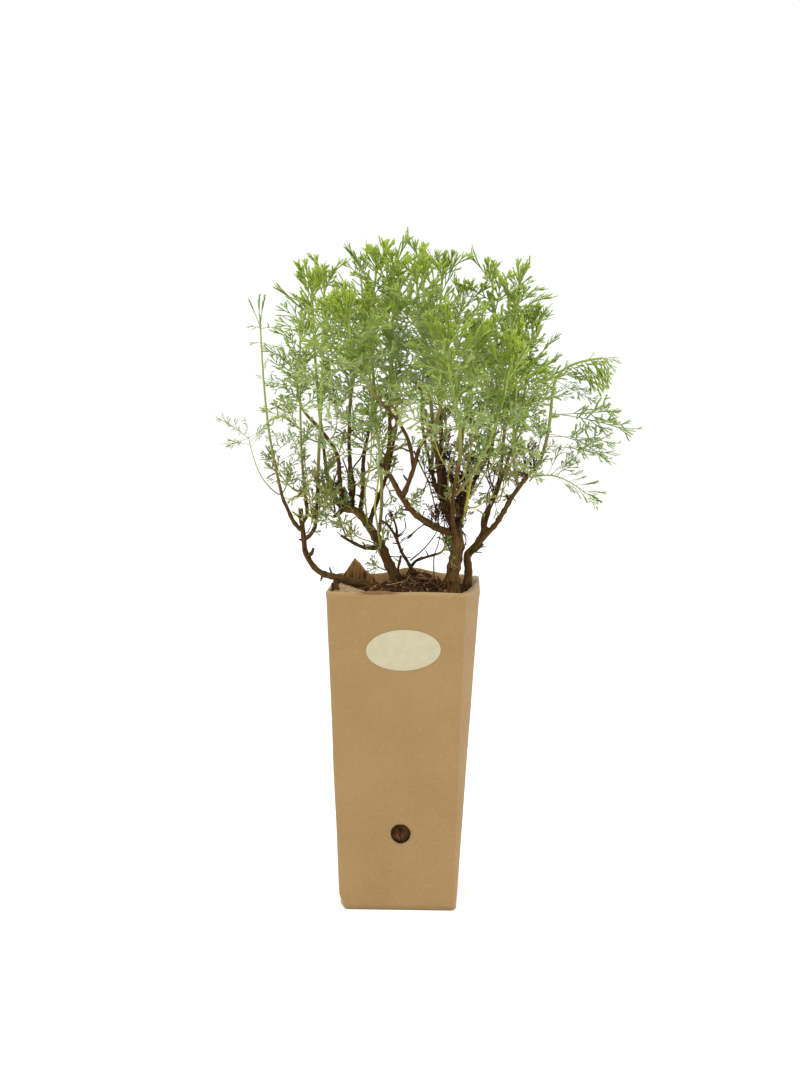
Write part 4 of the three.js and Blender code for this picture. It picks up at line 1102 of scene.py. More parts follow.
def ear_piece():
    """The torn triangular ear of the inner fold, which stands up at the back left."""
    along = (Vector(EAR[-1][:2]) - Vector(EAR[0][:2])).normalized()
    across, up = 48, 16

    def rule(u, v, side):
        at = u * (len(EAR) - 1)
        k = min(int(at), len(EAR) - 2)
        top = Vector(EAR[k]).lerp(Vector(EAR[k + 1]), at - k)
        frayed = lerp(0.3, 1.5, u) * ripple(u * 22, 0, 5)
        bow = 1.2 * math.sin(math.pi * u) * v + 0.35 * ripple(u * 6, v * 3, 1)
        depth = bow + (0.5 - side) * EAR_THICK * lerp(1, 0.55, v)
        z = lerp(EAR_FOOT_Z, top.z + frayed, v)
        return Vector((top.x - along.y * depth, top.y + along.x * depth, z))

    def looks(i, j):
        cut = 0.9 if j == up else 0.25 if j == up - 1 else 0
        stain = within(0.86 + 0.1 * (1 - j / up) + 0.4 * ripple(i * 0.45, j * 0.09, 9))
        return 0.5, cut, stain if j < up else 0.42

    return board_piece("raised_ear", across, up, rule, looks, TORN_BOARD)


def flap_piece():
    """The flap of the front wall, folded in over the soil at the left."""
    front = -(frontal_half(FLAP["z"]) - WALL / 2)
    across, deep = 30, 18

    def rule(u, v, side):
        slant = v * 7
        ragged = 1.1 * ripple(u * 9, v * 4, 8)
        lift = 0.35 * ripple(u * 5, v * 4, 2) + v * lerp(FLAP["rise_left"], FLAP["rise_right"], u)
        x = lerp(FLAP["left"] + slant / 2, FLAP["right"] - slant, u)
        y = front + v * (FLAP["reach"] + ragged * v)
        return Vector((x, y, FLAP["z"] + lift + (side - 0.5) * FLAP["thick"]))

    def looks(i, j):
        edge = j == deep or i in (0, across)
        return 0.9, 0.5 if edge else 0, within(0.46 + ripple(i * 0.5, j * 0.45, 12))

    return board_piece("folded_flap", across, deep, rule, looks)


def seam_piece():
    """The glued lap seam down the back."""
    across, up = 10, 60

    def rule(u, v, side):
        z = lerp(SEAM["low"], SEAM["high"], v)
        share = z / POT_HEIGHT
        middle = SEAM["x"] * lerp(HALF_BOTTOM / HALF_TOP, 1, share) + TOP_SHIFT * share
        edge = 0.25 * ripple(u * 3, v * 40, 4)
        x = middle + (u - 0.5) * SEAM["width"] + (edge if u in (0, 1) else 0)
        out = SEAM["thick"] * (0.6 + 0.4 * math.sin(math.pi * within(u, 0.02, 0.98)) ** 0.3)
        dent = wall_dent(x, frontal_half(z), z)
        return Vector((x, frontal_half(z) + (dent + out if side else -WALL / 2), z))

    def looks(i, j):
        return 0, 0.7 if i in (0, across) or j in (0, up) else 0, 0

    return board_piece("lap_seam", across, up, rule, looks)


def lip_piece():
    """The top of the right wall, turned inwards all along as a narrow lip."""
    across, deep = 60, 8

    def rule(u, v, side):
        y = lerp(LIP["front"], LIP["back"], u)
        folded = HALF_TOP - FOLD_FRONT[1] + FOLD_FRONT[1] * (y + HALF_TOP) / FOLD_SIDE[1]
        wall = TOP_SHIFT + min(HALF_TOP, folded) - BACK_PULL * smoothstep(y, 0, HALF_TOP) - WALL / 2
        width = LIP["width"] - LIP["notch"] * math.exp(-((y - LIP["notch_y"]) / 8) ** 2)
        x = wall - v * (width + 0.9 * ripple(u * 14, v * 2, 21))
        crown = 0.7 * math.sin(math.pi * min(v * 1.4, 1))
        z = rim_height(x, y) + crown - LIP["drop"] * v * v - 0.3 + (side - 0.5) * LIP["thick"]
        return Vector((x, y, z))

    def looks(i, j):
        return 0.5, 0.6 if j == deep else 0, within(0.12 + 0.7 * ripple(i * 0.3, j * 0.6, 30))

    return board_piece("turned_lip", across, deep, rule, looks)


def sliver_piece():
    """A sliver of the board's brown edge that has lifted off the front rim."""

    def rule(u, v, side):
        x = lerp(*SLIVER, u)
        swell = math.sin(math.pi * within(u, 0.02, 0.98)) ** 0.8
        y = -HALF_TOP - 0.35 + v * 0.9 + (0.5 - side) * 0.45 * swell
        return Vector((x, y, rim_height(x, -HALF_TOP) - 0.7 + v * 2.1 * swell + 0.3 * ripple(u * 8, v, 3)))

    points, faces = bent_panel(26, 3, rule)
    return smooth_piece("rim_sliver", points, faces, LITTER, tint=[0.86] * len(points))


def label_piece():
    """The oval sticker: a thin dome with a rounded edge, lying on the front wall."""
    rings = [(1.0, 0.0), (1.0, 0.16), (0.996, 0.27), (0.985, 0.33), (0.94, 0.36), (0.8, 0.37), (0.55, 0.38),
             (0.28, 0.38)]
    sides = 96
    lean = math.atan((HALF_TOP - HALF_BOTTOM) / POT_HEIGHT)
    tilt = math.radians(LABEL["tilt"])

    def on_wall(u, v, out):
        x = LABEL["x"] + u * math.cos(tilt) - v * math.sin(tilt)
        z = LABEL["z"] + (u * math.sin(tilt) + v * math.cos(tilt)) * math.cos(lean)
        return Vector((x, -frontal_half(z) - wall_dent(x, -frontal_half(z), z) - out - 0.02, z))

    points, faces, cut = [], [], []
    for share, out in rings:
        if points:
            faces += band(len(points) - sides, len(points), sides)
        for k in range(sides):
            angle = 2 * math.pi * k / sides
            points.append(on_wall(LABEL["width"] / 2 * share * math.cos(angle),
                                  LABEL["height"] / 2 * share * math.sin(angle), out))
            cut.append(0.8 if share > 0.99 else 0)
    last = len(points) - sides
    for first, out, under in ((last, rings[-1][1], False), (0, 0, True)):
        faces += fan(first, sides, len(points), under)
        points.append(on_wall(0, 0, out))
        cut.append(0)
    return smooth_piece("oval_label", points, faces, LABEL_PAPER, cut=cut)


for piece in (drilled(pot_piece()), ear_piece(), flap_piece(), seam_piece(), lip_piece()):
    settle(piece, "kraft_board", "pot")
settle(label_piece(), "label_paper", "label")

# The soil: its rings, and the mound of old bark and fibres between the stems.
SOIL_RINGS = 44
DEBRIS = {"x": 13, "y": -7, "wide": 12, "deep": 9, "height": 7}


def debris_share(x, y):
    """How much the mound of old bark and fibres between the stems rises at a place."""
    return math.exp(-((x - DEBRIS["x"]) / DEBRIS["wide"]) ** 2 - ((y - DEBRIS["y"]) / DEBRIS["deep"]) ** 2)


def soil_height(x, y):
    centred = max(0, 1 - (x * x + y * y) / HALF_TOP ** 2)
    bumps = 0.5 * math.sin(x / 6.3 + 1) * math.cos(y / 5.1) + 0.35 * math.sin((x + y) / 3.7)
    crumbs = 0.7 * ripple(x / 2.6, y / 2.6, 0) + 0.35 * ripple(x / 1.1, y / 1.1, 6)
    heap = 5 * math.exp(-((x + 3) ** 2 + (y + 14) ** 2) / 300)
    return SOIL_TOP + SOIL_SWELL * centred + bumps + crumbs + heap + DEBRIS["height"] * debris_share(x, y)


def soil_pieces():
    """The root ball, and three parts of its top alone to strew the litter over."""
    inset = WALL + GAP
    top = pot_outline(SOIL_TOP, inset, 4, 20)
    sides = len(top)
    points, faces = [], []
    for share in (k / SOIL_RINGS for k in range(SOIL_RINGS, 0, -1)):
        if points:
            faces += band(len(points) - sides, len(points), sides)
        for p in top:
            x, y = TOP_SHIFT + (p.x - TOP_SHIFT) * share, p.y * share
            points.append(Vector((x, y, soil_height(x, y))))
    faces += fan(len(points) - sides, sides, len(points))
    points.append(Vector((TOP_SHIFT, 0, soil_height(TOP_SHIFT, 0))))
    surface = keep("soil_surface", points, faces)
    middle = keep("soil_middle", points, faces[SOIL_RINGS * 2 // 11 * sides:])
    heaped = [face for face in faces if debris_share(points[face[0]].x, points[face[0]].y) > 0.3]
    mound = keep("debris_mound", points, heaped)
    above = 0
    for z in [*(SOIL_TOP - 12 * k for k in range(1, 15)), FLOOR + GAP]:
        faces += band(len(points), above, sides)
        above = len(points)
        for p in pot_outline(z, inset, 4, 20):
            grown_out = 1 + (0.5 * ripple(p.x / 2, p.y / 2, z / 2) - 0.4) / p.length
            points.append(Vector((p.x * grown_out, p.y * grown_out, z)))
    faces += fan(above, sides, len(points), True)
    points.append(Vector((0, 0, FLOOR + GAP)))
    return smooth_piece("root_ball", points, faces, SOIL), surface, middle, mound


def crumb_shape(name, dice):
    """A rough crumb of soil of radius 1."""
    made = bmesh.new()
    bmesh.ops.create_icosphere(made, subdivisions=1, radius=1)
    shift = Vector((dice.uniform(0, 9), dice.uniform(0, 9), dice.uniform(0, 9)))
    for point in made.verts:
        point.co *= 1 + 0.7 * noise.noise(point.co * 1.7 + shift)
        point.co.z *= 0.75
    mesh = bpy.data.meshes.new(name)
    made.to_mesh(mesh)
    made.free()
    return mesh


def fibre_shape(name, dice):
    """A bent fibre of length 1 that lies along X, with both ends turned up or down."""
    skin = Skin()
    thick = dice.uniform(0.025, 0.05)
    bow, lift = dice.uniform(-0.3, 0.3), dice.uniform(-0.12, 0.3)
    side, up = Vector((0, thick, 0)), Vector((0, 0, thick))
    rings = []
    cuts = (0, 0.25, 0.5, 0.75, 1)
    for cut in cuts:
        place = Vector((cut - 0.5, bow * math.sin(math.pi * cut), 0.04 + lift * (cut - 0.4) ** 2))
        rings.append([place + side, place + up, place - side])
    skin.strip(rings[:-1], sum(rings[-1], Vector()) / 3, cuts)
    return skin.mesh(name)


def named(tree, name, kind="FLOAT"):
    return put(tree, "GeometryNodeInputNamedAttribute", {0: name}, data_type=kind).outputs[0]


def stored(tree, shape, name, value, kind="FLOAT", domain="POINT"):
    inputs = {0: shape, 2: name, 3: value}
    return put(tree, "GeometryNodeStoreNamedAttribute", inputs, data_type=kind, domain=domain).outputs[0]


def chance(tree, seed, low, high, kind="FLOAT", shift=None):
    """A random value between two for each point, drawn from the tree's seed plus a shift."""
    first = ("FLOAT_VECTOR", "FLOAT", "INT").index(kind)
    drawn = maths(tree, "ADD", seed, shift) if shift else seed
    inputs = {first * 2: low, first * 2 + 1: high, "Seed": drawn}
    return put(tree, "FunctionNodeRandomValue", inputs, data_type=kind).outputs[first]


def jittered(tree, rotation, seed, *limits):
    """A rotation turned by chance, up to a limit about each of its own axes."""
    swing = put(tree, "ShaderNodeCombineXYZ", dict(enumerate(limits)))
    back = put(tree, "ShaderNodeVectorMath", {0: swing, 3: -1.0}, operation="SCALE")
    turn = put(tree, "FunctionNodeEulerToRotation", {0: chance(tree, seed, back, swing, "FLOAT_VECTOR")})
    return put(tree, "FunctionNodeRotateRotation", {0: rotation, 1: turn}, rotation_space="LOCAL")


def shapes_on(tree, points, shapes, index, rotation, scale, seed):
    """One shape of a collection on each point, each with a tint of its own."""
    held = put(tree, "GeometryNodeCollectionInfo", {0: shapes, 1: True, 2: True})
    placed = put(tree, "GeometryNodeInstanceOnPoints", {
        "Points": points, "Instance": held, "Pick Instance": True, "Instance Index": index,
        "Rotation": rotation, "Scale": scale})
    return stored(tree, placed, "tint", chance(tree, seed, 0.0, 1.0, shift=13.0), domain="INSTANCE")


def ended(tree, result, shape, finish, soft=True):
    """Ends a tree: what it placed made real, smooth where asked, and in its material."""
    whole = put(tree, "GeometryNodeRealizeInstances", {0: shape})
    if soft:
        whole = put(tree, "GeometryNodeSetShadeSmooth", {0: whole})
    dressed = put(tree, "GeometryNodeSetMaterial", {"Geometry": whole, "Material": finish})
    tree.links.new(dressed.outputs[0], result)
    return tree


def grown(carrier, tree, name, values):
    """Runs a Geometry Nodes tree on a carrier and keeps the result as a plain mesh."""
    modifier = carrier.modifiers.new(tree.name, "NODES")
    modifier.node_group = tree
    for item in tree.interface.items_tree:
        if item.in_out == "INPUT" and item.name in values:
            modifier[item.identifier] = values[item.name]
    mesh = evaluated(carrier)
    carrier.modifiers.remove(modifier)
    bpy.data.objects.remove(carrier)
    for used in ("heading", "face", "length", "kind", "seat", "radius"):
        if used in mesh.attributes:
            mesh.attributes.remove(mesh.attributes[used])
    return show(name, mesh)


def cleared(shapes):
    """Takes the shapes that a tree has placed out of the scene again."""
    for shape in list(shapes.objects):
        bpy.data.objects.remove(shape)
    bpy.data.collections.remove(shapes)


def litter_tree():
    """Strews shapes over a surface, each turned, sized and tinted by chance."""
    tree, given, result = tree_with(
        "strewn_litter", "GeometryNodeTree",
        {"Geometry": (SHAPE, None), "Shapes": (GROUP, None), "Finish": (FINISH, None),
         "Density": (FLOAT, 100000.0), "Smallest": (FLOAT, 0.0004), "Largest": (FLOAT, 0.0014),
         "Tilt": (FLOAT, 0.3), "Seed": (WHOLE, 1)},
        "Geometry", SHAPE)
    seed, tilt = given["Seed"], given["Tilt"]
    spots = put(tree, "GeometryNodeDistributePointsOnFaces", {
        "Mesh": given["Geometry"], "Density": given["Density"], "Seed": seed})
    turned = jittered(tree, spots.outputs["Rotation"], seed, tilt, tilt, math.pi)
    size = chance(tree, seed, given["Smallest"], given["Largest"], shift=5.0)
    pick = chance(tree, seed, 0, LITTER_SHAPES - 1, "INT", 9.0)
    placed = shapes_on(tree, spots.outputs["Points"], given["Shapes"], pick, turned, size, seed)
    return ended(tree, result, placed, given["Finish"], False)


def strew(name, surface, shape_rule, seed, density, smallest, largest, tilt):
    """Litter of one kind over a surface, sized in metres, as a plain mesh."""
    dice = random.Random(seed)
    shapes = bpy.data.collections.new(name + "_shapes")
    for k in range(LITTER_SHAPES):
        label = f"{name}_shape_{k}"
        shapes.objects.link(bpy.data.objects.new(label, shape_rule(label, dice)))
    piece = grown(show(name + "_ground", surface), LITTER_TREE, name, {
        "Shapes": shapes, "Finish": LITTER, "Seed": seed, "Density": density, "Smallest": smallest,
        "Largest": largest, "Tilt": tilt})
    cleared(shapes)
    return piece


def carrier_of(strands, name):
    """A mesh of loose edges with the points' values, which a tree turns into stems."""
    points, edges, values = [], [], {}
    for strand in strands:
        first = len(points)
        points += strand["points"]
        if not strand.get("loose"):
            edges += [(k, k + 1) for k in range(first, len(points) - 1)]
        for key, row in strand["values"].items():
            values.setdefault(key, []).extend(row)
    mesh = bpy.data.meshes.new(name)
    mesh.from_pydata([tuple(p * MM) for p in points], edges, [])
    for key, row in values.items():
        mark(mesh, key, row, VALUE_KINDS.get(key, "FLOAT"))
    return show(name, mesh)


def stem_tube(tree, lines, step, sides):
    """Gives stems their round body, and notes each point's place round and along its stem."""
    lines = put(tree, "GeometryNodeMeshToCurve", {0: lines})
    lines = put(tree, "GeometryNodeResampleCurve", {"Curve": lines, "Length": step}, mode="LENGTH")
    ring = put(tree, "GeometryNodeCurvePrimitiveCircle", {"Resolution": sides, "Radius": 1.0})
    profile = stored(tree, ring, "ring", put(tree, "GeometryNodeInputPosition"), "FLOAT_VECTOR")
    tube = put(tree, "GeometryNodeCurveToMesh", {
        "Curve": lines, "Profile Curve": profile, "Scale": named(tree, "radius"), "Fill Caps": True})
    place = put(tree, "ShaderNodeSeparateXYZ", {0: named(tree, "ring", "FLOAT_VECTOR")}).outputs
    grain = put(tree, "ShaderNodeCombineXYZ", {0: place[0], 1: place[1], 2: named(tree, "along")})
    return stored(tree, tube, "grain", grain, "FLOAT_VECTOR")


def wood_tree():
    """Limbs with a ridged and lumpy bark."""
    tree, given, result = tree_with(
        "woody_limbs", "GeometryNodeTree",
        {"Geometry": (SHAPE, None), "Bark": (FINISH, None), "Sides": (WHOLE, 12), "Step": (FLOAT, 0.001),
         "Ridges": (FLOAT, 0.2), "Lumps": (FLOAT, 0.0004)}, "Geometry", SHAPE)
    tube = stem_tube(tree, given["Geometry"], given["Step"], given["Sides"])
    drawn = stretched(tree, named(tree, "grain", "FLOAT_VECTOR"), 2.4, 2.4, 110.0)

    def swell(vector, scale, strength):
        grain = put(tree, "ShaderNodeTexNoise", {"Vector": vector, "Scale": scale, "Detail": 2.0})
        return maths(tree, "MULTIPLY", maths(tree, "SUBTRACT", grain, 0.5), strength)

    ridge = maths(tree, "MULTIPLY", swell(drawn, 1.0, given["Ridges"]), named(tree, "radius"))
    lump = swell(put(tree, "GeometryNodeInputPosition"), 420.0, given["Lumps"])
    offset = put(tree, "ShaderNodeVectorMath", {
        0: put(tree, "GeometryNodeInputNormal"), 3: maths(tree, "ADD", ridge, lump)}, operation="SCALE")
    moved = put(tree, "GeometryNodeSetPosition", {"Geometry": tube, "Offset": offset})
    return ended(tree, result, moved, given["Bark"])


def wood_piece(name, strands, bark, sides, step, ridges, lumps):
    return grown(carrier_of(strands, name + "_lines"), WOOD_TREE, name, {
        "Bark": bark, "Sides": sides, "Step": step * MM, "Ridges": ridges, "Lumps": lumps * MM})


def limb_strand(line, root_radius, tip_radius, offset, dice, young=1.0, knobbly=1.0):
    """One limb with swellings at its old leaf scars, flared at its carrier and in the soil."""
    steps = max(6, round(line.length / WOOD_TUBE_STEP))
    shares = [k / steps for k in range(steps + 1)]
    scars = []
    at = dice.uniform(3, 6)
    while at < line.length - 2:
        scars.append((at, dice.uniform(0.12, 0.32) * knobbly))
        at += dice.uniform(5, 11)
    radii = []
    for share in shares:
        reach = line.length * share
        swell = sum(size * math.exp(-((reach - place) / 1.3) ** 2) for place, size in scars)
        flare = 0.22 * math.exp(-reach / (2.2 * root_radius))
        collar = 0.3 * math.exp(-max(line.at(share).z - SOIL_TOP, 0) / 4)
        radii.append(lerp(root_radius, tip_radius, share) * (0.97 + swell + max(flare, collar)) * MM)
    return {
        "points": [line.at(share) for share in shares],
        "values": {"radius": radii, "along": [offset + line.length * MM * share for share in shares],
                   "young": [young * smoothstep(share, 0.55, 1) for share in shares]},
    }


def sideways(along, angle):
    """A direction square to a stem, turned round it by an angle."""
    across = along.orthogonal().normalized()
    return across * math.cos(angle) + along.cross(across) * math.sin(angle)


def spur_strand(line, radius, share, length, dice):
    """A short dead spur on a limb."""
    along = line.heading(share)
    out = sideways(along, dice.uniform(0, 2 * math.pi))
    aim = (out + along * dice.uniform(0.1, 0.9)).normalized()
    bend = Vector((dice.uniform(-1, 1), dice.uniform(-1, 1), dice.uniform(-0.3, 1))) * 0.25
    steps = [k / 6 for k in range(7)]
    thick = min(radius * 0.5, 0.75)
    return {
        "points": [line.at(share) + aim * (radius * 0.4 + length * t) + bend * length * t ** 2
                   for t in steps],
        "values": {"radius": [thick * lerp(1.15, 0.55, t) * MM for t in steps],
                   "along": [0.7 + share + length * MM * t for t in steps], "young": [0] * len(steps)},
    }


def lobe(skin, root, heading, face, length, width, sweep, cuts, share_from, share_to, rise=0.0):
    """A narrow lobe, flat beneath and ridged above, that bends in its plane by sweep and out of it
    by rise, with a blunt tip. Gives back its middle points and headings at each cut."""
    side = face.cross(heading).normalized()
    rings, kept = [], []
    place = root.copy()
    heading = heading.copy()
    for last, cut in zip((0, *cuts), cuts):
        step = cut - last
        heading = (heading + side * math.tan(sweep * step) + face * math.tan(rise * step)).normalized()
        side = face.cross(heading).normalized()
        place = place + heading * (length * step)
        half = width / 2 * (0.78 + 0.3 * cut)
        rings.append([place + side * half, place + heading.cross(side) * width * 0.34, place - side * half])
        kept.append((place.copy(), heading.copy(), cut))
    tip = place + heading * (length * (1 - cuts[-1]))
    skin.strip(rings, tip, [lerp(share_from, share_to, cut) for cut in cuts])
    return kept


def forked_lobe(skin, root, heading, face, length, plan, hand, forks, order, share, dice, slim=1.0):
    """A lobe with smaller lobes forking off it to both sides and out of its plane."""
    sweep = -hand * math.radians(dice.uniform(8, 34))
    rise = math.radians(dice.uniform(-1, 1.2) * plan["tilt"] * 0.7)
    cuts = SHORT_CUTS if plan.get("short") or not forks and order else FULL_CUTS
    width, share_to = plan["width"] * slim, min(share + 0.3, 1)
    kept = lobe(skin, root, heading, face, length, width, sweep, cuts, share, share_to, rise)
    for n in range(forks):
        where = lerp(0.3, 0.78, (n + 0.5) / forks) + dice.uniform(-0.07, 0.07)
        base, along, _ = min(kept, key=lambda entry: abs(entry[2] - where))
        turn = hand if (n + order) % 2 == 0 else -hand
        spread = math.radians(dice.uniform(*plan["fork"]))
        tilt = math.radians(dice.uniform(-1, 1.15) * plan["tilt"])
        side = face.cross(along).normalized() * turn
        out = side * math.cos(tilt) + face * math.sin(tilt)
        aim = (along * math.cos(spread) + out * math.sin(spread)).normalized()
        flat = (face - aim * face.dot(aim)).normalized()
        again = 1 if order == 0 and dice.random() < plan["twice"] else 0
        forked_lobe(skin, base, aim, flat, length * dice.uniform(0.42, 0.66), plan, turn, again, order + 1,
                    min(share + 0.2, 1), dice, slim * 0.94)


def leaf_mesh(name, plan, bend, dice):
    """One whole leaf of length 1 along +X, its upper side to +Z: a stalk and midrib that arch by
    plan["curl"] and bend, with forked lobes to both sides and three at the end."""
    skin = Skin()
    curl = math.radians(plan["curl"] + bend)
    sway = dice.uniform(-0.06, 0.06)

    def rib(share):
        sine, cosine = math.sin(curl * share), math.cos(curl * share)
        place = Vector((sine / curl, sway * math.sin(2.6 * share), -(1 - cosine) / curl))
        return place, Vector((cosine, 0, -sine)), Vector((sine, 0, cosine))

    cuts = [k / plan["rib_cuts"] for k in range(plan["rib_cuts"])]
    rings = []
    for cut in cuts:
        place, _, up = rib(cut)
        half = plan["width"] * lerp(0.42, 0.3, cut)
        side = Vector((0, half, 0))
        rings.append([place + side, place + up * half * 0.9, place - side])
    skin.strip(rings, rib(0.86)[0], [*cuts, 0.9])

    pairs = plan["pairs"]
    for k, hand in ((k, hand) for k in range(pairs) for hand in (1, -1)):
        along = within((k + (0.3 if hand > 0 else 0) + dice.uniform(-0.2, 0.2)) / pairs)
        share = lerp(plan["petiole"], 0.84, along)
        place, heading, up = rib(share)
        reach = plan["reach"] * (0.66 + 0.5 * math.sin(math.pi * min(along * 0.7 + 0.25, 1)))
        reach *= dice.uniform(0.75, 1.2)
        spread = math.radians(lerp(*plan["spread"], along) + dice.uniform(-12, 12))
        lift = math.radians(dice.uniform(-0.6, 1) * plan["tilt"])
        out = Vector((0, hand * math.cos(lift), 0)) + up * math.sin(lift)
        aim = (heading * math.cos(spread) + out * math.sin(spread)).normalized()
        face = (up - aim * up.dot(aim)).normalized()
        forks = plan["teeth"] - (1 if along > 0.8 or dice.random() < 0.25 else 0)
        forked_lobe(skin, place, aim, face, reach, plan, hand, max(forks, 0), 0, share, dice)
    place, heading, up = rib(0.84)
    for hand, spread in ((1, dice.uniform(18, 34)), (-1, dice.uniform(18, 34)), (1, dice.uniform(-6, 6))):
        turn = math.radians(spread)
        aim = heading * math.cos(turn) + Vector((0, hand, 0)) * math.sin(turn)
        size = plan["reach"] * dice.uniform(0.5, 0.75)
        forked_lobe(skin, place, aim.normalized(), up, size, plan, hand, 0, 1, 0.8, dice)
    for hand in (1, -1) if plan.get("ears") else ():
        place, heading, up = rib(0.03)
        aim = (heading * 0.5 + Vector((0, hand, 0)) * 0.9).normalized()
        lobe(skin, place, aim, up, plan["reach"] * 0.35, plan["width"] * 0.85, 0.0, SHORT_CUTS, 0.1, 0.4)
    mesh = skin.mesh(name)
    mark(mesh, "along", skin.along)
    for face in mesh.polygons:
        face.use_smooth = True
    return mesh


def leaf_collection():
    """All leaf shapes, in the order of their names: each plan in a few variants."""
    shapes = bpy.data.collections.new("leaf_shapes")
    for number, (name, plan) in enumerate(LEAF_PLANS.items()):
        for variant, bend in enumerate(LEAF_BENDS):
            dice = random.Random(10 * number + variant)
            label = f"leaf_{name}_{variant}"
            shapes.objects.link(bpy.data.objects.new(label, leaf_mesh(label, plan, bend, dice)))
    return shapes


def shoot_tree():
    """Green stems along the lines, and a leaf on each loose point that is a seat."""
    tree, given, result = tree_with(
        "leafy_shoot", "GeometryNodeTree",
        {"Geometry": (SHAPE, None), "Leaves": (GROUP, None), "Foliage": (FINISH, None),
         "Stem Sides": (WHOLE, 8), "Step": (FLOAT, 0.002), "Roll": (FLOAT, 0.5), "Sway": (FLOAT, 0.2),
         "Size Spread": (FLOAT, 0.12), "Seed": (WHOLE, 1)}, "Geometry", SHAPE)
    seed = given["Seed"]
    parts = put(tree, "GeometryNodeSeparateGeometry", {
        0: given["Geometry"], 1: named(tree, "seat", "BOOLEAN")}, domain="POINT")
    facing = put(tree, "FunctionNodeAxesToRotation", {
        0: named(tree, "heading", "FLOAT_VECTOR"), 1: named(tree, "face", "FLOAT_VECTOR")},
        primary_axis="X", secondary_axis="Z")
    turned = jittered(tree, facing, seed, given["Roll"], given["Sway"], given["Sway"])
    low = maths(tree, "SUBTRACT", 1.0, given["Size Spread"])
    high = maths(tree, "ADD", 1.0, given["Size Spread"])
    size = maths(tree, "MULTIPLY", chance(tree, seed, low, high, shift=7.0), named(tree, "length"))
    leaves = shapes_on(tree, parts, given["Leaves"], named(tree, "kind", "INT"), turned, size, seed)
    tube = stem_tube(tree, parts.outputs[1], given["Step"], given["Stem Sides"])
    both = put(tree, "GeometryNodeJoinGeometry")
    for part in (leaves, stored(tree, tube, "stalk", 1.0)):
        tree.links.new(part, both.inputs[0])
    return ended(tree, result, both, given["Foliage"])


def leaf_seat(line, age, at, azimuth, pitch, length, plan, variant):
    """Where a leaf sits on its shoot, and which shape it has."""
    along = line.heading(at)
    across = Vector((0, 1, 0))
    across = (across - along * across.dot(along)).normalized()
    out = across * math.cos(azimuth) + along.cross(across) * math.sin(azimuth)
    heading = along * math.cos(pitch) + out * math.sin(pitch)
    return {
        "point": line.at(at), "heading": heading, "face": heading.cross(along.cross(out)),
        "length": length * MM, "kind": plan * len(LEAF_BENDS) + variant, "age": age,
    }


def shoot_seats(name, shoot, line, dice):
    """All leaves of a shoot, as they are listed for it or else all round its stem."""
    if name in SPARSE_LEAVES:
        youth = GREY_YOUTH if name in GREY_SHOOTS else 1
        return [leaf_seat(line, at * youth, at, math.radians(azimuth), math.radians(pitch), *leaf)
                for at, azimuth, pitch, *leaf in SPARSE_LEAVES[name]]
    size = shoot.get("size", 1)
    kept = shoot.get("kept", LEAVES_KEPT)
    count = shoot.get("leaves", USUAL_LEAVES) * LEAVES_FOR_ONE
    seats = []
    for number in range(1, count + 1):
        share = number / count
        at = lerp(shoot["low"] * LOWEST_LEAF, 1, share)
        azimuth = math.radians(shoot["turn"] + number * GOLDEN_TURN)
        if dice.random() < kept:
            pitch = math.radians(lerp(*LEAF_PITCH, share ** 1.5))
            length = lerp(*LEAF_LENGTH, share) * size
            plan = min(int(share * 4), YOUNG)
            seats.append(leaf_seat(line, share, at, azimuth, pitch, length, plan, any_bend(dice)))
        sprig_leaves = SPRIG_LEAVES if share < 0.85 and dice.random() < SPRIG_SHARE * kept else 0
        for _ in range(sprig_leaves):
            aim = azimuth + dice.uniform(-0.7, 0.7)
            lean = math.radians(dice.uniform(*SPRIG_PITCH))
            length = dice.uniform(*SPRIG_LENGTH) * math.sqrt(size)
            age = 0.55 + 0.3 * share
            seats.append(leaf_seat(line, age, at + 0.004, aim, lean, length, SPRIG, any_bend(dice)))
    for number in range(1, TIP_LEAVES + 1):
        share = number / TIP_LEAVES
        azimuth = math.radians(shoot["turn"] + (count + number) * GOLDEN_TURN)
        length = lerp(*TIP_LENGTH, share) * size * shoot.get("top", 1)
        pitch = math.radians(lerp(*TIP_PITCH, share))
        seats.append(leaf_seat(line, 1, lerp(0.95, 1, share), azimuth, pitch, length, YOUNG, any_bend(dice)))
    return seats


def any_bend(dice):
    return dice.randrange(len(LEAF_BENDS))


def twig_seats(line, dice, start, gap, pitches, wobble, lengths, tip_lengths, ages, tip_age):
    """The small leaves round a short twig from a reach in millimetres, and four at its tip."""
    seats = []
    turn = dice.uniform(0, 6)
    reach = start
    while reach < line.length:
        share = reach / line.length
        turn += math.radians(GOLDEN_TURN)
        pitch = math.radians(lerp(*pitches, share) + (dice.uniform(-wobble, wobble) if wobble else 0))
        seats.append(leaf_seat(line, lerp(*ages, share), share, turn, pitch, dice.uniform(*lengths), SPRIG,
                               any_bend(dice)))
        reach += dice.uniform(*gap)
    for k in range(4):
        turn += math.radians(GOLDEN_TURN)
        seats.append(leaf_seat(line, tip_age, 1, turn, math.radians(30 - 7 * k), dice.uniform(*tip_lengths),
                               SPRIG, any_bend(dice)))
    return seats


def green_stem(line, places, root_radius, tip_radius, oldest=0):
    """One green stem along a line, from its oldest to its young end, which is age 1."""
    shares = [lerp(oldest, 1, place) for place in places]
    blank = [Vector((1, 0, 0))] * len(shares)
    empty = [0] * len(shares)
    return {
        "points": [line.at(place) for place in places],
        "values": {
            "radius": [lerp(root_radius, tip_radius, share) * MM for share in shares],
            "along": [line.length * MM * share for share in shares], "age": shares,
            "heading": blank, "face": blank, "length": empty, "kind": empty,
            "seat": [False] * len(shares)},
    }


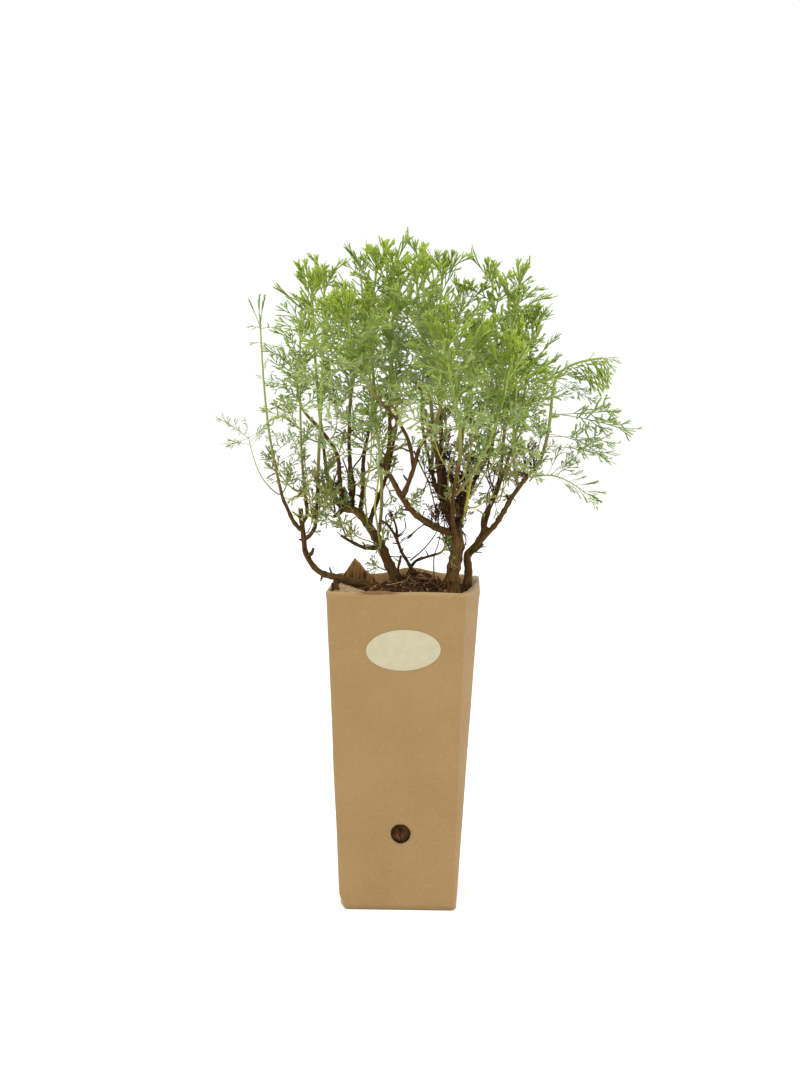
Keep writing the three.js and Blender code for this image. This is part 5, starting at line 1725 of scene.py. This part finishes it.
def seat_points(seats):
    """The loose points that carry leaves."""
    values = {key: [seat[key] for seat in seats] for key in ("age", "heading", "face", "length", "kind")}
    empty = [0] * len(seats)
    return {
        "points": [seat["point"] for seat in seats], "loose": True,
        "values": {**values, "radius": empty, "along": empty, "seat": [True] * len(seats)},
    }


def leafy_piece(name, strands, finish, seed, sides=8, roll=0.8, sway=0.26):
    return grown(carrier_of(strands, name + "_lines"), SHOOT_TREE, name, {
        "Leaves": LEAF_SHAPES, "Foliage": finish, "Stem Sides": sides, "Step": 0.0025, "Roll": roll,
        "Sway": sway, "Size Spread": 0.14, "Seed": seed})


def sprig_strands(piece, rows, dice, lengths, oldest, youngest):
    """Short twigs with small leaves, sprouting all round the limbs of a woody piece."""
    strands, seats = [], []
    steps = [k / 12 for k in range(13)]
    for name, low, high, count, shortest, longest in rows:
        limb = f"{piece}.{name}"
        carrier = LIMB_LINES[limb]
        for number in range(count):
            at = lerp(low, high, (number + dice.uniform(0.1, 0.9)) / count)
            seat = carrier.at(at)
            out = sideways(carrier.heading(at), math.radians(number * GOLDEN_TURN) + dice.uniform(-0.5, 0.5))
            rise = Vector((dice.uniform(-0.35, 0.35), dice.uniform(-0.35, 0.35), 1)).normalized()
            length = dice.uniform(shortest, longest)
            bow = seat + out * length * 0.4
            tip = seat + out * length * 0.5 + rise * length * 0.75
            line = Line([seat * (1 - t) ** 2 + bow * 2 * t * (1 - t) + tip * t * t for t in steps])
            thick = lerp(0.42, 0.62, length / 40)
            strands.append(green_stem(line, steps, thick, thick * 0.55))
            seats += twig_seats(line, dice, start=limb_radius(limb, at) + 1.5, gap=SPRIG_GAP,
                                pitches=(66, 28), wobble=10, lengths=lengths, tip_lengths=lengths,
                                ages=(oldest, youngest), tip_age=youngest)
    return [*strands, seat_points(seats)]


# The soil with its litter. The seeds keep the draws the same each run.
LITTER_TREE = litter_tree()
WOOD_TREE = wood_tree()
SHOOT_TREE = shoot_tree()
LEAF_SHAPES = leaf_collection()

root_ball, soil_surface, soil_middle, debris_mound = soil_pieces()
settle(root_ball, "soil", "soil")
for name, surface, shape_rule, seed, density, smallest, largest, tilt in (
        ("soil_crumbs", soil_surface, crumb_shape, 300, 170000.0, 0.0004, 0.0015, 1.2),
        ("soil_fibres", soil_middle, fibre_shape, 301, 56000.0, 0.004, 0.012, 0.35),
        ("old_fibres", debris_mound, fibre_shape, 303, 620000.0, 0.004, 0.012, 1.0)):
    settle(strew(name, surface, shape_rule, seed, density, smallest, largest, tilt), "soil")
settle(sliver_piece(), "kraft_board")

# The wood: each limb, then dead spurs on limbs that are picked by their length.
for number, (name, limbs) in enumerate(WOOD.items()):
    dice = random.Random(40 + number)
    lines = {limb: LIMB_LINES[f"{name}.{limb}"] for limb in limbs}
    strands = []
    for k, (limb, (root_radius, tip_radius, _)) in enumerate(limbs.items()):
        young = any(shoot["on"] == f"{name}.{limb}" for shoot in SHOOTS.values())
        strands.append(limb_strand(lines[limb], root_radius, tip_radius, 0.3 * k, dice, young))
    lengths = [line.length for line in lines.values()]
    for _ in range(SPURS[name]):
        limb = dice.choices(list(limbs), weights=lengths)[0]
        share = dice.uniform(0.12, 0.95)
        if lines[limb].at(share).z > POT_HEIGHT:
            radius = limb_radius(f"{name}.{limb}", share)
            strands.append(spur_strand(lines[limb], radius, share, dice.uniform(1.5, 6), dice))
    bark = DRY_TWIG if name == "dead_twigs" else BARK
    piece = wood_piece("wood_" + name, strands, bark, sides=14, step=WOOD_TUBE_STEP, ridges=0.55, lumps=0.4)
    settle(piece, "bark", name)

# The leafy shoots, whose stems are rooted inside the wood.
for number, (name, shoot) in enumerate(SHOOTS.items()):
    line = shoot_line(shoot)
    slim = math.sqrt(shoot.get("size", 1)) * shoot.get("slim", 1)
    shares = [k / STEM_STEPS for k in range(STEM_STEPS + 1)]
    stem = green_stem(line, [0, *shares], SHOOT_RADIUS_ROOT * slim, SHOOT_RADIUS_TIP * slim)
    stem["points"][0] = LIMB_LINES[shoot["on"]].at(shoot.get("at", 0.97))
    seats = shoot_seats(name, shoot, line, random.Random(100 + number))
    # The tufts deep in the plant take the copy of the leaves with painted shade.
    finish = SHADED_INNER_FOLIAGE if name.startswith("tuft") else FOLIAGE
    roll, sway = (0.5, 0.08) if name in SPARSE_LEAVES else (0.8, 0.26)
    piece = leafy_piece("leafy_" + name, [stem, seat_points(seats)], finish, 500 + number, roll=roll,
                        sway=sway)
    settle(piece, "foliage", "shoot_" + name)

for number, (name, rows) in enumerate(INNER_SPRIGS.items()):
    dice = random.Random(200 + number)
    strands = sprig_strands(name, rows, dice, lengths=(7, 14), oldest=0.05, youngest=0.5)
    settle(leafy_piece("inner_sprigs_" + name, strands, SHADED_INNER_FOLIAGE, 600 + number, sides=5), "foliage")

withered = []
for number, (name, rows) in enumerate(WITHERED_SPRIGS.items()):
    dice = random.Random(220 + number)
    withered += sprig_strands(name, rows, dice, lengths=(4, 9), oldest=0, youngest=0)
hanging = Line([Vector(p) for p in HANGING_LEAF])
withered.append(green_stem(hanging, (0, 0.3, 0.6, 1), 0.4, 0.3))
for azimuth, at in ((0, 0.45), (120, 0.6), (180, 0.75), (240, 1)):
    withered.append(seat_points([leaf_seat(hanging, 0, at, math.radians(azimuth), 0.12, 8, CLOSED, 0)]))
settle(leafy_piece("withered_sprigs", withered, WITHERED, 640, sides=5), "bark")

# The bare twigs and the green strands draw from one dice.
dice = random.Random(240)
strands = []
for number, (radius, route) in enumerate(BARE_TWIGS.values()):
    line = limb_line(route, 8)
    strands.append(limb_strand(line, radius, radius * 0.6, 0.37 * number, dice, young=False, knobbly=0.7))
settle(wood_piece("bare_twigs", strands, DRY_TWIG, sides=7, step=1.4, ridges=0.4, lumps=0.3), "bark")

strands, seats = [], []
shares = [k / 24 for k in range(25)]
for radius, route in GREEN_STRANDS.values():
    line = limb_line(route, 8)
    strands.append(green_stem(line, shares, radius, radius * 0.6, oldest=0.3))
    seats += twig_seats(line, dice, start=5, gap=STRAND_GAP, pitches=(60, 26), wobble=0, lengths=(6, 11),
                        tip_lengths=(7, 11), ages=(0.25, 0.25), tip_age=0.35)
settle(leafy_piece("green_strands", [*strands, seat_points(seats)], SHADED_INNER_FOLIAGE, 660, sides=6), "foliage")

cleared(LEAF_SHAPES)
